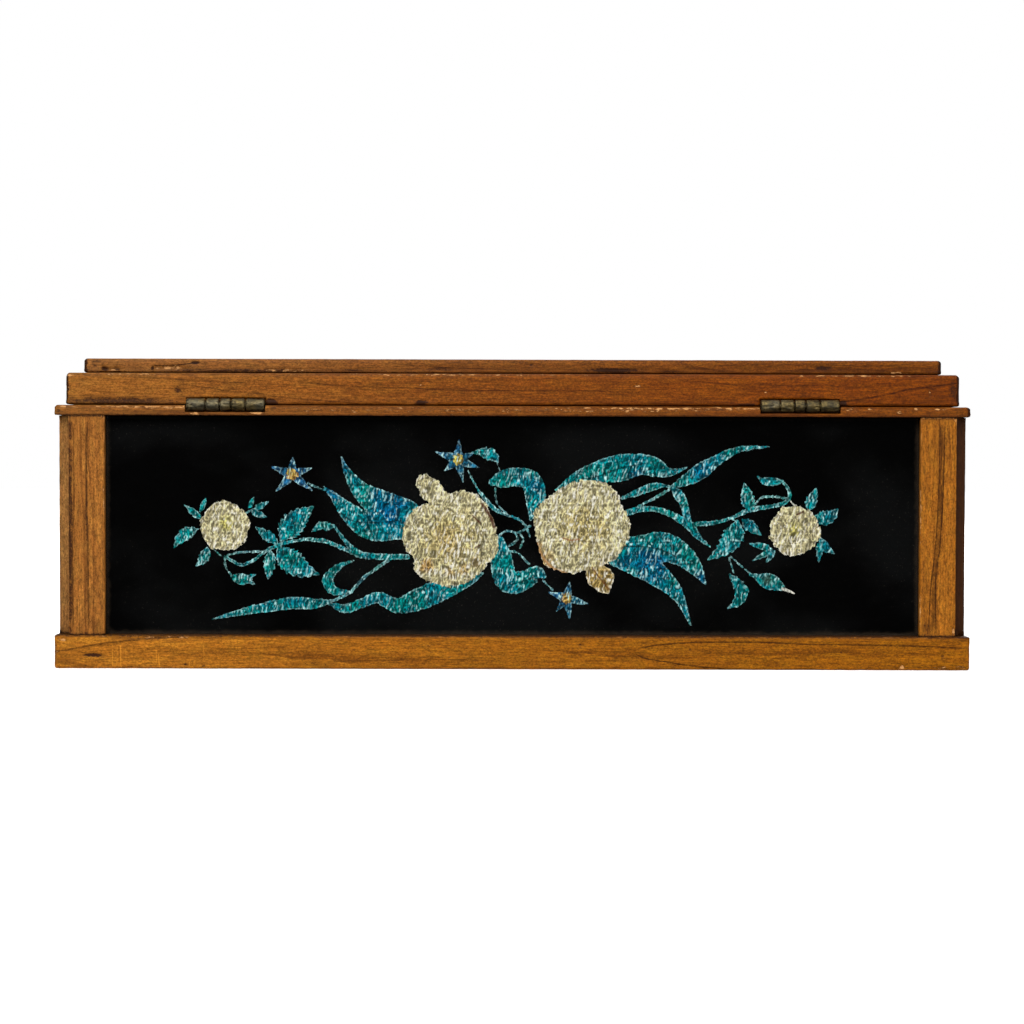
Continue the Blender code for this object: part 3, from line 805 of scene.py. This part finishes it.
def lobed(radius, seed, count=24):
    """Radii of a rim with soft lobes."""
    waves = np.random.default_rng(seed).uniform(0, math.tau, 3)
    angles = np.linspace(0, math.tau, count, endpoint=False)
    rim = sum(share * np.sin(lobes * angles + phase) for lobes, share, phase in
              zip((3, 5, 9), (0.02, 0.03, 0.02), waves))
    return tuple(radius * (1 + rim))


class Spray:
    """The foil shapes of one panel. Later shapes lie on earlier ones. tones are soft patches of
    colour as (u, v, radius, colour, share); lines are thin strokes drawn on the foil."""

    def __init__(self):
        self.shapes, self.tones, self.lines = [], [], []

    def leaves(self, *rows):
        """Pointed leaves, as the u and v of the base and of the tip, a width, and where given the
        count of teeth and how far it bends sideways as a share of its length."""
        for row in rows:
            base, tip = np.array(row[:2], float), np.array(row[2:4], float)
            width, teeth, bend = (*row[4:], 0, 0)[:3]
            run = tip - base
            side = np.array((run[1], -run[0])) * bend
            self.band(*((*(base + run * t + side * 4 * t * (1 - t)), width * share) for t, share in
                        ((0, 0.1), (0.2, 0.8), (0.42, 1), (0.7, 0.68), (1, 0.04))), teeth=teeth)

    def band(self, *points, colour=TEAL, teeth=0):
        """A ribbon through points (u, v, width)."""
        self.shapes.append(Stroke(points, colour, teeth))

    def stem(self, width, *points):
        self.band(*((*p, width) for p in points), colour=STEM)

    def rose(self, middle, radii, heart=None, rag=2.8):
        """A cream rose with a yellower heart of the given size."""
        self.shapes.append(Rose(middle, radii, CREAM, rag))
        if heart:
            self.tones.append((*middle, heart, STRAW, 0.55))

    def star(self, middle, tips, width=8):
        """A blue flower with a pointed petal to each tip and a gold heart."""
        middle = np.array(middle, float)
        for tip in tips:
            run = np.array(tip) - middle
            self.band(*((*(middle + run * t), width * share) for t, share in
                        ((0, 1), (0.3, 1.05), (0.62, 0.62), (1, 0.05))), colour=NAVY)
        self.shapes.append(Rose(tuple(middle), lobed(width * 0.66, 3), GOLD))

    def rib(self, width, *points, colour=RIB):
        """A line drawn on the foil through points (u, v)."""
        self.lines.append(Stroke([(*p, width) for p in points], colour))


PAINT_THICKNESS = 0.1 * MM

# The ways of each panel as seen from outside: right, down and out
WAYS = {
    "rear": ((-1, 0, 0), (0, 0, -1), (0, 1, 0)),
    "front": ((1, 0, 0), (0, 0, -1), (0, -1, 0)),
    "left": ((0, -1, 0), (0, 0, -1), (-1, 0, 0)),
    "right": ((0, 1, 0), (0, 0, -1), (1, 0, 0)),
    "lid": ((-1, 0, 0), (0, 1, 0), (0, 0, 1)),
}


class Panel:
    """Where a panel's foil lies: the middle of its opening, its directions and its black backing."""

    def __init__(self, side, cell):
        self.side, self.cell = side, cell
        self.right, self.down, self.out = (Vector(way) for way in WAYS[side])
        foil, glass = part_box(panel_node("foil", side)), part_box(panel_node("glass", side))
        self.axis = max(range(3), key=lambda i: abs(self.out[i]))
        sign = self.out[self.axis]
        outer = int(sign < 0)
        self.backing = foil[outer][self.axis] + sign * PAINT_THICKNESS
        self.gap = abs(glass[outer][self.axis] - self.backing)
        self.middle = (foil[0] + foil[1]) / 2
        self.middle[self.axis] = self.backing

    def points(self, u, v, lift):
        """World points of design coordinates, lifted off the backing by a share of the gap."""
        across, down = ((w - middle) * UNIT for w, middle in zip((u, v), PANEL_MIDDLE))
        return (np.array(self.middle) + np.outer(across, self.right)
                + np.outer(down, self.down) + np.outer(lift * self.gap, self.out))

    def opening(self):
        """The corners of the part of the pane that shows."""
        low, high = (corner.copy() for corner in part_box(panel_node("glass", self.side)))
        rims = ((0, "lid_bead_right"), (1, "lid_bead_rear"))
        if self.side != "lid":
            across = 1 - self.axis
            rims = ((across, f"stile_{self.side}_{('right', 'rear')[across]}"),)
        for axis, node in rims:
            high[axis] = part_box(node)[0][axis]
            low[axis] = -high[axis]
        return low, high


def panel_node(kind, side):
    """The name of the node that is a panel's glass or foil."""
    return f"lid_{kind}" if side == "lid" else f"{kind}_{side}"


def lay_backing(panel, look, body):
    """The thin black coat behind a pane. Its edge attribute says where dust gathers, along the
    sides of the opening."""
    low, high = panel.opening()
    inner = [axis for axis in range(3) if axis != panel.axis]
    rims = [(axis, end[axis], sign) for end, sign in ((low, 1), (high, -1)) for axis in inner]
    extra = [(axis, place + sign * share * DUST_REACH) for axis, place, sign in rims
             for share in (0, 0.25, 0.5, 1)]
    foil = panel_node("foil", panel.side)
    shape = fine_mesh(foil, (5 * MM,) * 3, extra)
    edge = shape.verts.layers.float.new("edge")
    middle = sum(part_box(foil), Vector())[panel.axis] / 2
    for vert in shape.verts:
        if (vert.co[panel.axis] - middle) * panel.out[panel.axis] > 0:
            vert.co[panel.axis] = panel.backing
        vert[edge] = max(0, *(1 - abs(vert.co[axis] - place) / DUST_REACH
                              for axis, place, _ in rims))
    backing = mesh_object(f"paint_{panel.side}", shape, look, body)
    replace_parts(backing, foil)


def lay_foil(panel, spray, body, looks):
    """Cuts a spray from crumpled foil, as one piece of petals and one of leaves."""
    low = np.min([s.low for s in spray.shapes], 0)
    high = np.max([s.high for s in spray.shapes], 0)
    du, dv = panel.cell, panel.cell * CELL_HEIGHT
    u, v = np.meshgrid(np.arange(low[0], high[0], du), np.arange(low[1], high[1], dv))
    rag = field(u / 2, v / 2, 6) - 0.5
    depth = np.full(u.shape, OUTSIDE)
    top = np.full(u.shape, -1)
    for index, shape in enumerate(spray.shapes):
        part = window(shape, low, du, dv, u.shape)
        away = shape.distance(u[part], v[part]) + shape.rag * rag[part]
        depth[part] = np.minimum(depth[part], away)
        top[part] = np.where(away < 0.3, index, top[part])

    cream = np.array([s.colour in (CREAM, SILVER) for s in spray.shapes] + [False])
    colours = np.array([s.colour for s in spray.shapes] + [TEAL])[top]
    folds, strokes = creases(u, v)
    colours = tint_and_paint_light(colours, spray, (u, v), (low, du, dv), cream[top], folds, strokes, depth)
    slope_v, slope_u = np.gradient(depth, dv, du)
    steep = np.maximum(0.3, slope_u ** 2 + slope_v ** 2)
    shift = np.where(np.abs(depth) < 0.75 * max(du, dv), depth / steep, 0)
    lift = 0.25 + 0.22 * folds + 0.4 * field(u / 7, v / 9, 5)
    world = panel.points((u - shift * slope_u).ravel(), (v - shift * slope_v).ravel(),
                         lift.ravel())
    kept = sum(corners(depth)) / 4 < 0
    creamy = cream[np.maximum.reduce(corners(top))]
    for name, mask, look in zip(("petals", "leaves"), (kept & creamy, kept & ~creamy), looks):
        foil_piece(f"foil_{panel.side}_{name}", world, mask, colours, look, body, panel)


def corners(grid):
    """A grid's values at the four corners of each of its cells."""
    return grid[:-1, :-1], grid[1:, :-1], grid[:-1, 1:], grid[1:, 1:]


def window(shape, low, du, dv, size):
    """The part of the grid that a shape may touch, as slices."""
    first = np.floor((shape.low - low) / (du, dv)).astype(int)
    last = np.ceil((shape.high - low) / (du, dv)).astype(int) + 1
    return tuple(slice(max(0, first[i]), min(size[1 - i], last[i])) for i in (1, 0))


def tint_and_paint_light(colours, spray, place, grid, cream, folds, strokes, depth):
    """Adds soft patches, uneven tone, painted shade in the hollows and painted highlight on the ridges
    of the creases, painted glints, and drawn lines to the foil.
    """
    u, v = place
    for x, y, radius, colour, share in spray.tones:
        away = np.hypot(u - x, v - y) + radius * 0.5 * (field(u / 6, v / 6, 7) - 0.5)
        part = share * np.clip(1.6 * (1 - away / radius), 0, 1)
        colours = colours + (np.array(colour) - colours) * part[..., None]
    tone = 0.8 + 0.4 * field(u / 4, v / 6, 8)
    green = np.array((0.85, 1.1, 0.88)) - 1
    hue = (field(u / 11, v / 11, 9) - 0.5) * 2
    colours = colours * tone[..., None] * (1 + green * (hue * ~cream)[..., None])

    # Painted shade in the hollows and painted highlight on the ridges
    painted_relief_shade = np.where(cream, 2.4, 3)
    colours = colours * np.exp(painted_relief_shade * (folds - 0.5))[..., None]
    # Painted glints on the short strokes and round the cut edges
    painted_glint = np.where(cream[..., None], (1, 0.96, 0.82), (0.62, 1, 0.98))
    patches = np.clip(2 * field(u / 5, v / 7, 10) - 0.1, 0, 1)
    painted_sparkle = np.clip((strokes - np.where(cream, 0.58, 0.66)) / 0.26, 0, 1) * patches
    rim = np.clip(1 + depth / 1.5, 0, 1) * np.clip(2.2 * field(u / 1.6, v / 1.6, 11) - 0.8, 0, 1)
    share = np.clip(painted_sparkle + 0.6 * rim, 0, 1)[..., None]
    colours = colours + (painted_glint - colours) * share
    for line in spray.lines:
        part = window(line, *grid, u.shape)
        ink = np.clip(0.5 - line.distance(u[part], v[part]), 0, 1)[..., None] * 0.85
        colours[part] += (np.array(line.colour) - colours[part]) * ink
    return np.clip(colours, 0, 1)


def foil_piece(name, world, mask, colours, look, body, panel):
    """A mesh from the cells of a grid that mask keeps."""
    rows, columns = np.nonzero(mask)
    width = mask.shape[1] + 1
    corner = rows * width + columns
    quads = np.stack([corner, corner + width, corner + width + 1, corner + 1], 1)
    used, faces = np.unique(quads, return_inverse=True)
    mesh = bpy.data.meshes.new(name)
    mesh.from_pydata(world[used].tolist(), [], faces.reshape(-1, 4).tolist())
    # The stored colour carries painted glints and painted shade
    tint_and_painted_light = mesh.attributes.new("tint_and_painted_light", "FLOAT_COLOR", "POINT")
    flat = np.concatenate([colours.reshape(-1, 3)[used], np.ones((len(used), 1))], 1)
    tint_and_painted_light.data.foreach_set("color", flat.astype(np.float32).ravel())
    mesh.update()
    if mesh.polygons and Vector(mesh.polygons[0].normal).dot(panel.out) < 0:
        mesh.flip_normals()
    mesh.shade_smooth()
    add_piece(name, mesh, look, body)


# Radii of the two big roses' rims, every 15 degrees from the right and down
LEFT_RIM = (50, 51, 46.8, 47.4, 46.5, 47, 47.6, 46.5, 47.4, 46.5, 38.8, 43.2,
            45.2, 45.3, 45.6, 44.5, 41, 41, 45, 49.8, 53.3, 52, 49.5, 49.2)
RIGHT_RIM = (48, 46.5, 44.8, 44.6, 43, 42.5, 43.8, 48, 50, 53.4, 50.5, 48,
             48.5, 51, 47.5, 45, 44.7, 45.2, 46.7, 47.8, 49.2, 48.8, 44.4, 45.2)


def rear_spray():
    """Two big roses side by side, with wings of leaves, sprigs with small roses and three stars."""
    s = Spray()
    band, stem, rib, star, rose, leaves = s.band, s.stem, s.rib, s.star, s.rose, s.leaves
    tones = s.tones
    # Left wing, its star and its lower ribbons
    band((341, 457, 1), (349, 475, 9), (362, 492, 19), (380, 504, 28), (404, 516, 34))
    band((324, 487, 1), (337, 500, 10), (352, 515, 20), (372, 527, 27), (405, 525, 28))
    tones += [(388, 508, 24, BLUE, 0.75), (343, 465, 12, BLUE, 0.6), (331, 495, 12, BLUE, 0.6)]
    rib(1.2, (341, 513), (350, 520), (366, 523), (402, 521))
    stem(1.8, (308, 484), (325, 491))
    star((292, 475), ((293, 456), (270, 467), (276, 492), (312, 491), (313, 468)))
    band((330, 604, 3), (345, 609, 9), (361, 604, 9), (378, 598, 12), (398, 606, 15), (420, 599, 22),
         (448, 587, 21), (470, 579, 12), (483, 573, 2))
    band((212, 620, 1), (250, 611, 8), (290, 604, 12), (315, 604, 10), (334, 601, 1))
    band((354, 561, 1), (339, 567, 6), (328, 580, 11), (334, 591, 9), (350, 592, 2))
    stem(3, (334, 601), (350, 593), (362, 580), (376, 569), (388, 561))
    # Left sprig
    band((226, 558, 2), (240, 565, 3), (252, 562, 3), (264, 553, 3), (280, 545, 4), (297, 541, 3),
         (313, 540, 4), (330, 543, 4), (346, 550, 4), (360, 555, 6), (380, 557, 6), (408, 557, 5))
    stem(2, (227, 556), (240, 553), (262, 552))
    band((334, 526, 3), (341, 536, 3), (350, 547, 5), (361, 555, 6))
    band((312, 532, 2), (321, 526, 9), (328, 527, 9), (334, 527, 3), teeth=3)
    leaves((281, 541, 314, 507, 27, 9, 0.06), (278, 547, 319, 575, 27, 9, -0.1),
           (278, 544, 255, 527, 12, 5), (271, 551, 268, 581, 14, 6))
    stem(1.5, (225, 556), (226, 568), (232, 576))
    band((232, 577, 3), (238, 579, 10), (244, 580, 11), (249, 580, 7))
    leaves((247, 578, 257, 575, 4), (247, 581, 256, 585, 4), (198, 530, 174, 549, 14, 5, -0.12),
           (208, 548, 196, 567, 12, 5, 0.1), (202, 520, 185, 506, 8, 4), (200, 513, 207, 497, 5),
           (249, 509, 254, 498, 5), (254, 510, 269, 502, 7, 3), (251, 512, 268, 518, 7))
    stem(1.4, (245, 514), (255, 509))
    stem(1.4, (222, 557), (208, 545))
    rose((225, 527), lobed(24.5, 11))
    tones.append((228, 524, 9, OLIVE, 0.6))
    # Right-hand leaves of the big roses
    band((556, 490, 2), (575, 479, 12), (595, 472, 20), (618, 468, 27), (640, 464, 21), (655, 467, 19),
         (669, 472, 9), (687, 467, 1))
    rib(1.2, (582, 479), (598, 476), (620, 468), (645, 463))
    band((672, 486, 3), (685, 480, 11), (700, 471, 16), (716, 460, 11), (735, 450, 7), (752, 447, 4),
         (769, 446, 1))
    tones += [(702, 470, 12, BLUE, 0.4), (636, 475, 10, BLUE, 0.5)]
    band((616, 550, 26), (640, 552, 34), (662, 547, 31), (680, 553, 24), (695, 567, 15), (706, 584, 1))
    band((618, 556, 22), (640, 563, 28), (658, 575, 23), (672, 587, 17), (682, 602, 9), (691, 625, 1))
    rib(1.2, (622, 547), (640, 546), (660, 549), (676, 556))
    tones += [(650, 563, 21, BLUE, 0.75), (702, 577, 11, BLUE, 0.7), (622, 562, 12, BLUE, 0.6)]
    band((622, 498, 3), (635, 493, 6), (650, 487, 8), (662, 485, 4), (672, 487, 2))
    stem(2.4, (638, 506), (650, 500), (664, 492), (674, 486))
    band((625, 513, 6), (640, 509, 6), (656, 509, 5), (671, 514, 6), (684, 521, 8), (692, 528, 8),
         (699, 537, 5), (711, 547, 1))
    band((672, 487, 3), (678, 494, 10), (684, 504, 8), (687, 516, 7), (690, 526, 5))
    # Right sprig
    band((692, 524, 5), (715, 522, 4), (732, 517, 3), (750, 509, 5), (768, 506, 4), (782, 503, 4),
         (789, 497, 3), (788, 488, 3), (781, 480, 2))
    stem(2, (754, 505), (761, 497), (774, 496), (788, 498))
    band((757, 476, 1), (763, 480, 6), (771, 481, 9), (779, 481, 5), (782, 480, 2))
    leaves((750, 510, 744, 482, 16, 7))
    stem(1.4, (732, 518), (740, 524))
    band((737, 521, 6), (734, 534, 24), (724, 548, 17), (708, 559, 1), teeth=8)
    leaves((742, 519, 762, 535, 13, 4), (772, 548, 749, 543, 7), (773, 549, 753, 560, 6),
           (775, 550, 766, 562, 6))
    stem(1.4, (729, 557), (734, 572))
    stem(1.4, (731, 556), (742, 566), (752, 574))
    band((730, 574, 3), (737, 582, 11), (742, 592, 15), (737, 602, 10), (728, 608, 1), teeth=6)
    band((751, 574, 3), (757, 576, 6), (764, 579, 14), (773, 582, 16), (781, 586, 8), (786, 589, 2))
    tones.append((768, 578, 7, srgb(80, 84, 70), 0.6))
    band((783, 588, 2.4), (789, 590, 2.6), (795, 593, 1), colour=SILVER)
    leaves((808, 510, 816, 487, 13, 5))
    band((816, 517, 8), (824, 517, 17), (832, 514, 12), (838, 508, 2), teeth=5)
    leaves((820, 537, 835, 553, 9, 0, -0.1), (820, 540, 819, 562, 8, 4))
    band((791, 501, 1.5), (797, 507, 3), (802, 512, 4), colour=SILVER)
    rose((794.5, 530), lobed(25, 12))
    tones.append((795, 530, 9, OLIVE, 0.6))
    # Middle twigs, curls and the two stars
    band((472, 453, 2), (480, 452, 8), (489, 454, 14), (495, 458, 9), (498, 463, 1), teeth=5)
    stem(1.4, (496, 461), (500, 471))
    band((468, 471, 1.5), (477, 488, 2), (486, 500, 4), (495, 509, 4), (504, 514, 2.5), (520, 520, 2),
         (527, 529, 2), (530, 537, 1))
    stem(1.6, (495, 488), (497, 503), (507, 514))
    band((492, 482, 7), (500, 480, 16), (515, 477, 19), (530, 480, 20), (535, 493, 21), (535, 506, 17),
         (531, 519, 3))
    tones.append((537, 487, 10, BLUE, 0.45))
    stem(2.4, (497, 537), (506, 531), (515, 533), (517, 540), (509, 546))
    stem(2.4, (518, 533), (530, 526))
    stem(1.8, (520, 532), (523, 540), (520, 548))
    stem(1.8, (509, 551), (518, 553), (529, 564))
    band((501, 540, 6), (502, 555, 19), (503, 570, 23), (509, 583, 21))
    band((500, 582, 10), (513, 583, 22), (527, 579, 18), (537, 573, 14), (545, 576, 4))
    rib(1.2, (511, 585), (524, 581), (536, 576))
    stem(1.6, (543, 580), (553, 590))
    star((567, 598), ((570, 581), (548, 592), (557, 611), (570, 619), (590, 604)), 7.5)
    star((458, 460), ((459, 439), (435, 452), (443, 472), (463, 482), (480, 468), (474, 453)))
    # The big roses, with their buds
    band((424, 482, 16), (429, 488, 22), (436, 497, 21), (446, 508, 22), colour=CREAM)
    rose((448, 539), LEFT_RIM, 34)
    rose((600, 578), (14.5, 13.5, 17.5, 14, 11, 12.5, 13, 16, 14, 13, 13, 14), rag=1.2)
    rose((583, 527), RIGHT_RIM, 32)
    tones += [(426, 566, 9, OCHRE, 0.7), (545, 560, 13, OCHRE, 0.45), (601, 580, 22, BUD, 1),
              (450, 573, 7, OCHRE, 0.4), (464, 570, 8, OCHRE, 0.4), (477, 563, 7, OCHRE, 0.35),
              (539, 545, 6, OCHRE, 0.5), (446, 540, 16, OCHRE, 0.2)]
    rib(3, (482, 504), (487, 511), (491, 518), (494, 527), colour=RUST)
    rib(1.8, (473, 516), (480, 523), colour=RUST)
    rib(1.5, (475, 548), (480, 545), colour=RUST)
    rib(1.4, (563, 538), (571, 540), (579, 539), colour=srgb(150, 90, 50))
    rib(2.4, (537, 543), (543, 557), (553, 568), (566, 573), colour=srgb(190, 140, 80))
    rib(1.6, (592, 567), (600, 578), (609, 589), colour=srgb(104, 62, 28))
    rib(1.2, (604, 580), (608, 590), colour=srgb(104, 62, 28))
    rib(2, (797, 514), (803, 511), colour=RUST)
    return s


def plain_spray(long):
    """A quieter spray for the sides that the photograph doesn't show: a rose between leaves, with
    a sprig to either side on a long panel."""
    s = Spray()
    middle_u, middle_v = PANEL_MIDDLE
    for flip in (-1, 1):
        def at(u, v, *rest):
            return (middle_u + flip * u, middle_v + v, *rest)
        s.band(at(20, 0, 20), at(46, -12, 26), at(74, -24, 16), at(100, -30, 1))
        s.band(at(20, 8, 18), at(44, 16, 24), at(66, 32, 14), at(84, 52, 1))
        s.rib(1.2, at(30, -4), at(52, -13), at(76, -24))
        s.tones.append((*at(48, 2), 20, BLUE, 0.7))
        if long:
            s.band(at(60, 6, 4), at(110, 8, 4), at(150, -2, 3), at(190, 4, 3), at(226, 0, 2))
            for u, v, tip_u, tip_v in ((112, 4, 128, -24), (124, 10, 146, 34), (152, -2, 172, -26),
                                       (168, 2, 186, 28), (196, 2, 208, -22)):
                s.leaves((*at(u, v), *at(tip_u, tip_v), 16, 6))
            s.rose(at(246, 0), lobed(24, 31))
            s.tones.append((*at(246, 0), 9, OLIVE, 0.6))
            for angle in (-50, -15, 25, 60):
                turn = math.radians(angle)
                base, tip = (at(246 + away * math.cos(turn), away * math.sin(turn))
                             for away in (25, 46))
                s.leaves((*base, *tip, 9, 4))
    s.rose(PANEL_MIDDLE, lobed(44, 33), 26)
    return s


def lay_panels():
    """Gives each opening its pane, its black backing and its foil, finer on the hinge side."""
    looks = foil_look("cream_foil", 0.06, 0.32), foil_look("teal_foil", 0.15, 0.3)
    pane, paint = clear_glass(), black_paint()
    for side in WAYS:
        glass = dress(panel_node("glass", side), pane)
        glass.visible_shadow = False
        panel = Panel(side, FINE_CELL if side == "rear" else PLAIN_CELL)
        lay_backing(panel, paint, glass["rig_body"])
        spray = rear_spray() if side == "rear" else plain_spray(side in ("front", "lid"))
        lay_foil(panel, spray, glass["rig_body"], looks)


# Hinges


def brass():
    """Dull olive brass, greyer and scuffed where it stands proud."""
    look = Look("aged_brass")
    place = look.place()
    tarnish = look.noise(place, (0.35, 0.6), 4, 0.65)
    colour = look.mix(look.step(tarnish, 0.35, 0.68), srgb(48, 42, 25), srgb(104, 88, 50))
    grey = look.step(look.noise(place, (0.1,)), 0.45, 0.6)
    colour = look.mix(grey, colour, srgb(90, 86, 70), 0.45)
    spots = look.step(look.noise(place, (1.3,), 3, 0.6), 0.5, 0.66)
    scuff = look.noise(place, (0.7, 3, 2.2), 3, 0.6)
    look.set(Base_Color=look.mix(spots, colour, srgb(38, 30, 20), 0.8), Metallic=0.8,
             Roughness=look.scale(tarnish, 0.55, 0.4), Normal=look.bump(scuff, 0.11 * MM))
    return look.owner


KNUCKLE_REACH = 0.4 * MM
SCREW_RADIUS = 1.7 * MM
SCREW_SLOT = 0.45 * MM
SCREW_PROUD = 0.05 * MM
SCREW_SINK = 0.5 * MM
SLOT_FLOOR = SCREW_PROUD - 0.35 * MM
SCREW_SIDES = 28
# Where a leaf's screws stand: shares of its length, and how far from its edge
SCREW_SHARES = (0.22, 0.78)
SCREW_INSET = 2.4 * MM
BRASS_STEPS = (0.4 * MM, 0.8 * MM, 0.8 * MM)


def batter(shape, axis, radius):
    """Rounds the ends of the knuckles, cuts grooves in them and dents the rest."""
    def off_axis(point):
        return Vector((0, point.y - axis.y, point.z - axis.z))
    middles = [face.calc_center_median() for face in shape.faces if abs(face.normal.x) > 0.9]
    ends = {round(middle.x, 5) for middle in middles if off_axis(middle).length < radius}
    for vert in shape.verts:
        point = vert.co.copy()
        dent = noise.noise(point / (1.6 * MM)) + 0.5 * noise.noise(point / (0.7 * MM))
        vert.co -= vert.normal * (0.03 + 0.03 * dent) * MM
        away = off_axis(point)
        if 0.7 * radius <= away.length <= 1.02 * radius:
            near = max(0, 1 - min(abs(point.x - end) for end in ends) / KNUCKLE_REACH)
            slant = Vector((point.x * 0.5, point.y * 2, point.z * 2)) / (1.1 * MM)
            groove = max(0, noise.noise(slant) - 0.12)
            vert.co -= away.normalized() * (0.22 * near * near + 0.6 * groove) * MM


def prism(shape, angles, low, high):
    """A closed prism whose outline has points at the given angles of a screw's head."""
    floor, roof = ([shape.verts.new((SCREW_RADIUS * math.cos(a), SCREW_RADIUS * math.sin(a), z))
                    for a in angles] for z in (low, high))
    shape.faces.new(roof)
    shape.faces.new(floor[::-1])
    for i, spot in enumerate(floor):
        after = (i + 1) % len(floor)
        shape.faces.new((spot, floor[after], roof[after], roof[i]))


def screw(name, place, up, turn, look, body):
    """A countersunk slotted screw whose head stands just proud of its leaf."""
    shape = bmesh.new()
    slant = math.asin(SCREW_SLOT / 2 / SCREW_RADIUS)
    ring = [math.tau * i / SCREW_SIDES for i in range(SCREW_SIDES)]
    prism(shape, ring, -SCREW_SINK, SLOT_FLOOR)
    for half in (0, math.pi):
        arc = np.linspace(half + slant, half + math.pi - slant, SCREW_SIDES // 2 + 1)
        prism(shape, arc, SLOT_FLOOR, SCREW_PROUD)
    tilt = Matrix.Rotation(0 if up > 0 else math.pi, 4, "X")
    where = Matrix.Translation(place) @ tilt @ Matrix.Rotation(turn, 4, "Z")
    bmesh.ops.transform(shape, matrix=where, verts=shape.verts)
    mesh_object(name, shape, look, body, 30)


def make_hinges():
    """Two butt hinges, with two screws in each leaf."""
    look = brass()
    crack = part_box("lid_rail_rear")[0].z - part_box("lip_rail_rear")[1].z
    for side in ("left", "right"):
        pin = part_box(f"hinge_pin_{side}")
        axis = (pin[0] + pin[1]) / 2
        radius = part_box(f"hinge_leaf_box_{side}")[1].y - axis.y
        for part in ("pin", "leaf_box", "leaf_lid"):
            node = f"hinge_{part}_{side}"
            shape = fine_mesh(node, BRASS_STEPS)
            batter(shape, axis, radius)
            body = NODES[node]["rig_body"]
            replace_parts(mesh_object(f"{node}_brass", shape, look, body, 50), node)
        for part, up in (("box", 1), ("lid", -1)):
            low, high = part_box(f"hinge_leaf_{part}_{side}")
            for index, share in enumerate(SCREW_SHARES):
                x = low.x + share * (high.x - low.x)
                place = (x, low.y + SCREW_INSET, axis.z - up * crack / 2)
                screw(f"screw_{part}_{side}_{index + 1}", place, up,
                      0.7 + 1.9 * index + x * 9, look, part)


# Stage, light and camera


def unmirrored():
    """The panes as a group that the lamps leave out, so that no pane mirrors a lamp."""
    group = bpy.data.collections.new("panes")
    for side in WAYS:
        group.objects.link(NODES[panel_node("glass", side)])
    for entry in group.collection_objects:
        entry.light_linking.link_state = "EXCLUDE"
    return group


BOX_MIDDLE = Vector((0, 0, 0.05))
FLOOR_REACH = 3
# Each lamp's place, size and power
LAMPS = {
    "key": ((0.35, 1.5, 1), (0.9, 0.9), 24),
    "fill": ((-0.5, 1.6, 0.6), (0.9, 0.9), 8),
    "front_fill": ((-0.7, -1.5, 0.9), (1, 1), 14),
    "top": ((0.1, 0, 1.6), (1.2, 0.8), 8),
}


def make_stage():
    """A white floor, a sky that is dark below and white to the camera, and the lamps."""
    mesh = bpy.data.meshes.new("floor")
    near, far = -FLOOR_REACH, FLOOR_REACH
    mesh.from_pydata([(near, near, 0), (far, near, 0), (far, far, 0), (near, far, 0)], [],
                     [(0, 1, 2, 3)])
    look = Look("floor_paper")
    look.set(Base_Color=(0.9, 0.9, 0.9, 1), Roughness=0.9, Specular_IOR_Level=0,
             Emission_Color=(1, 1, 1, 1), Emission_Strength=0.35)
    mesh.materials.append(look.owner)
    floor = add("floor", mesh)
    floor.visible_glossy = floor.visible_transmission = False

    sky = Look("studio", "worlds", "Background")
    bpy.context.scene.world = sky.owner
    coords = sky.node("TexCoord").outputs["Generated"]
    ramp = sky.node("ValToRGB", sky.node("SeparateXYZ", coords).outputs["Z"])
    stops = (0.12, (0.006, 0.006, 0.006, 1)), (0.6, (0.9, 0.9, 0.92, 1))
    for stop, (position, colour) in zip(ramp.color_ramp.elements, stops):
        stop.position, stop.color = position, colour
    seen = sky.node("LightPath").outputs["Is Camera Ray"]
    sky.set(Color=sky.mix(seen, ramp.outputs[0], (1, 1, 1)))

    panes = unmirrored()
    for name, (place, size, power) in LAMPS.items():
        data = bpy.data.lights.new(name, "AREA")
        data.shape = "RECTANGLE"
        data.size, data.size_y = size
        data.energy = power
        lamp = add(name, data)
        lamp.light_linking.receiver_collection = panes
        lamp.location = place
        lamp.rotation_euler = (BOX_MIDDLE - lamp.location).to_track_quat("-Z", "Y").to_euler()


def make_camera():
    """The camera that the photograph was taken with, as far as it can be told."""
    data = bpy.data.cameras.new("photo_camera")
    data.sensor_width = SENSOR
    data.lens = PHOTO_FOCAL * SENSOR / PHOTO_SIZE
    data.clip_start = 0.01
    camera = add("photo_camera", data)
    where = Matrix.Translation(CAMERA_PLACE)
    for angle, axis in CAMERA_TURNS:
        where @= Matrix.Rotation(math.radians(angle), 4, axis)
    camera.matrix_world = where
    bpy.context.scene.camera = camera
    bpy.context.scene.view_settings.view_transform = "Standard"


make_camera()
make_stage()
make_wood()
finish_inside()
lay_panels()
make_hinges()
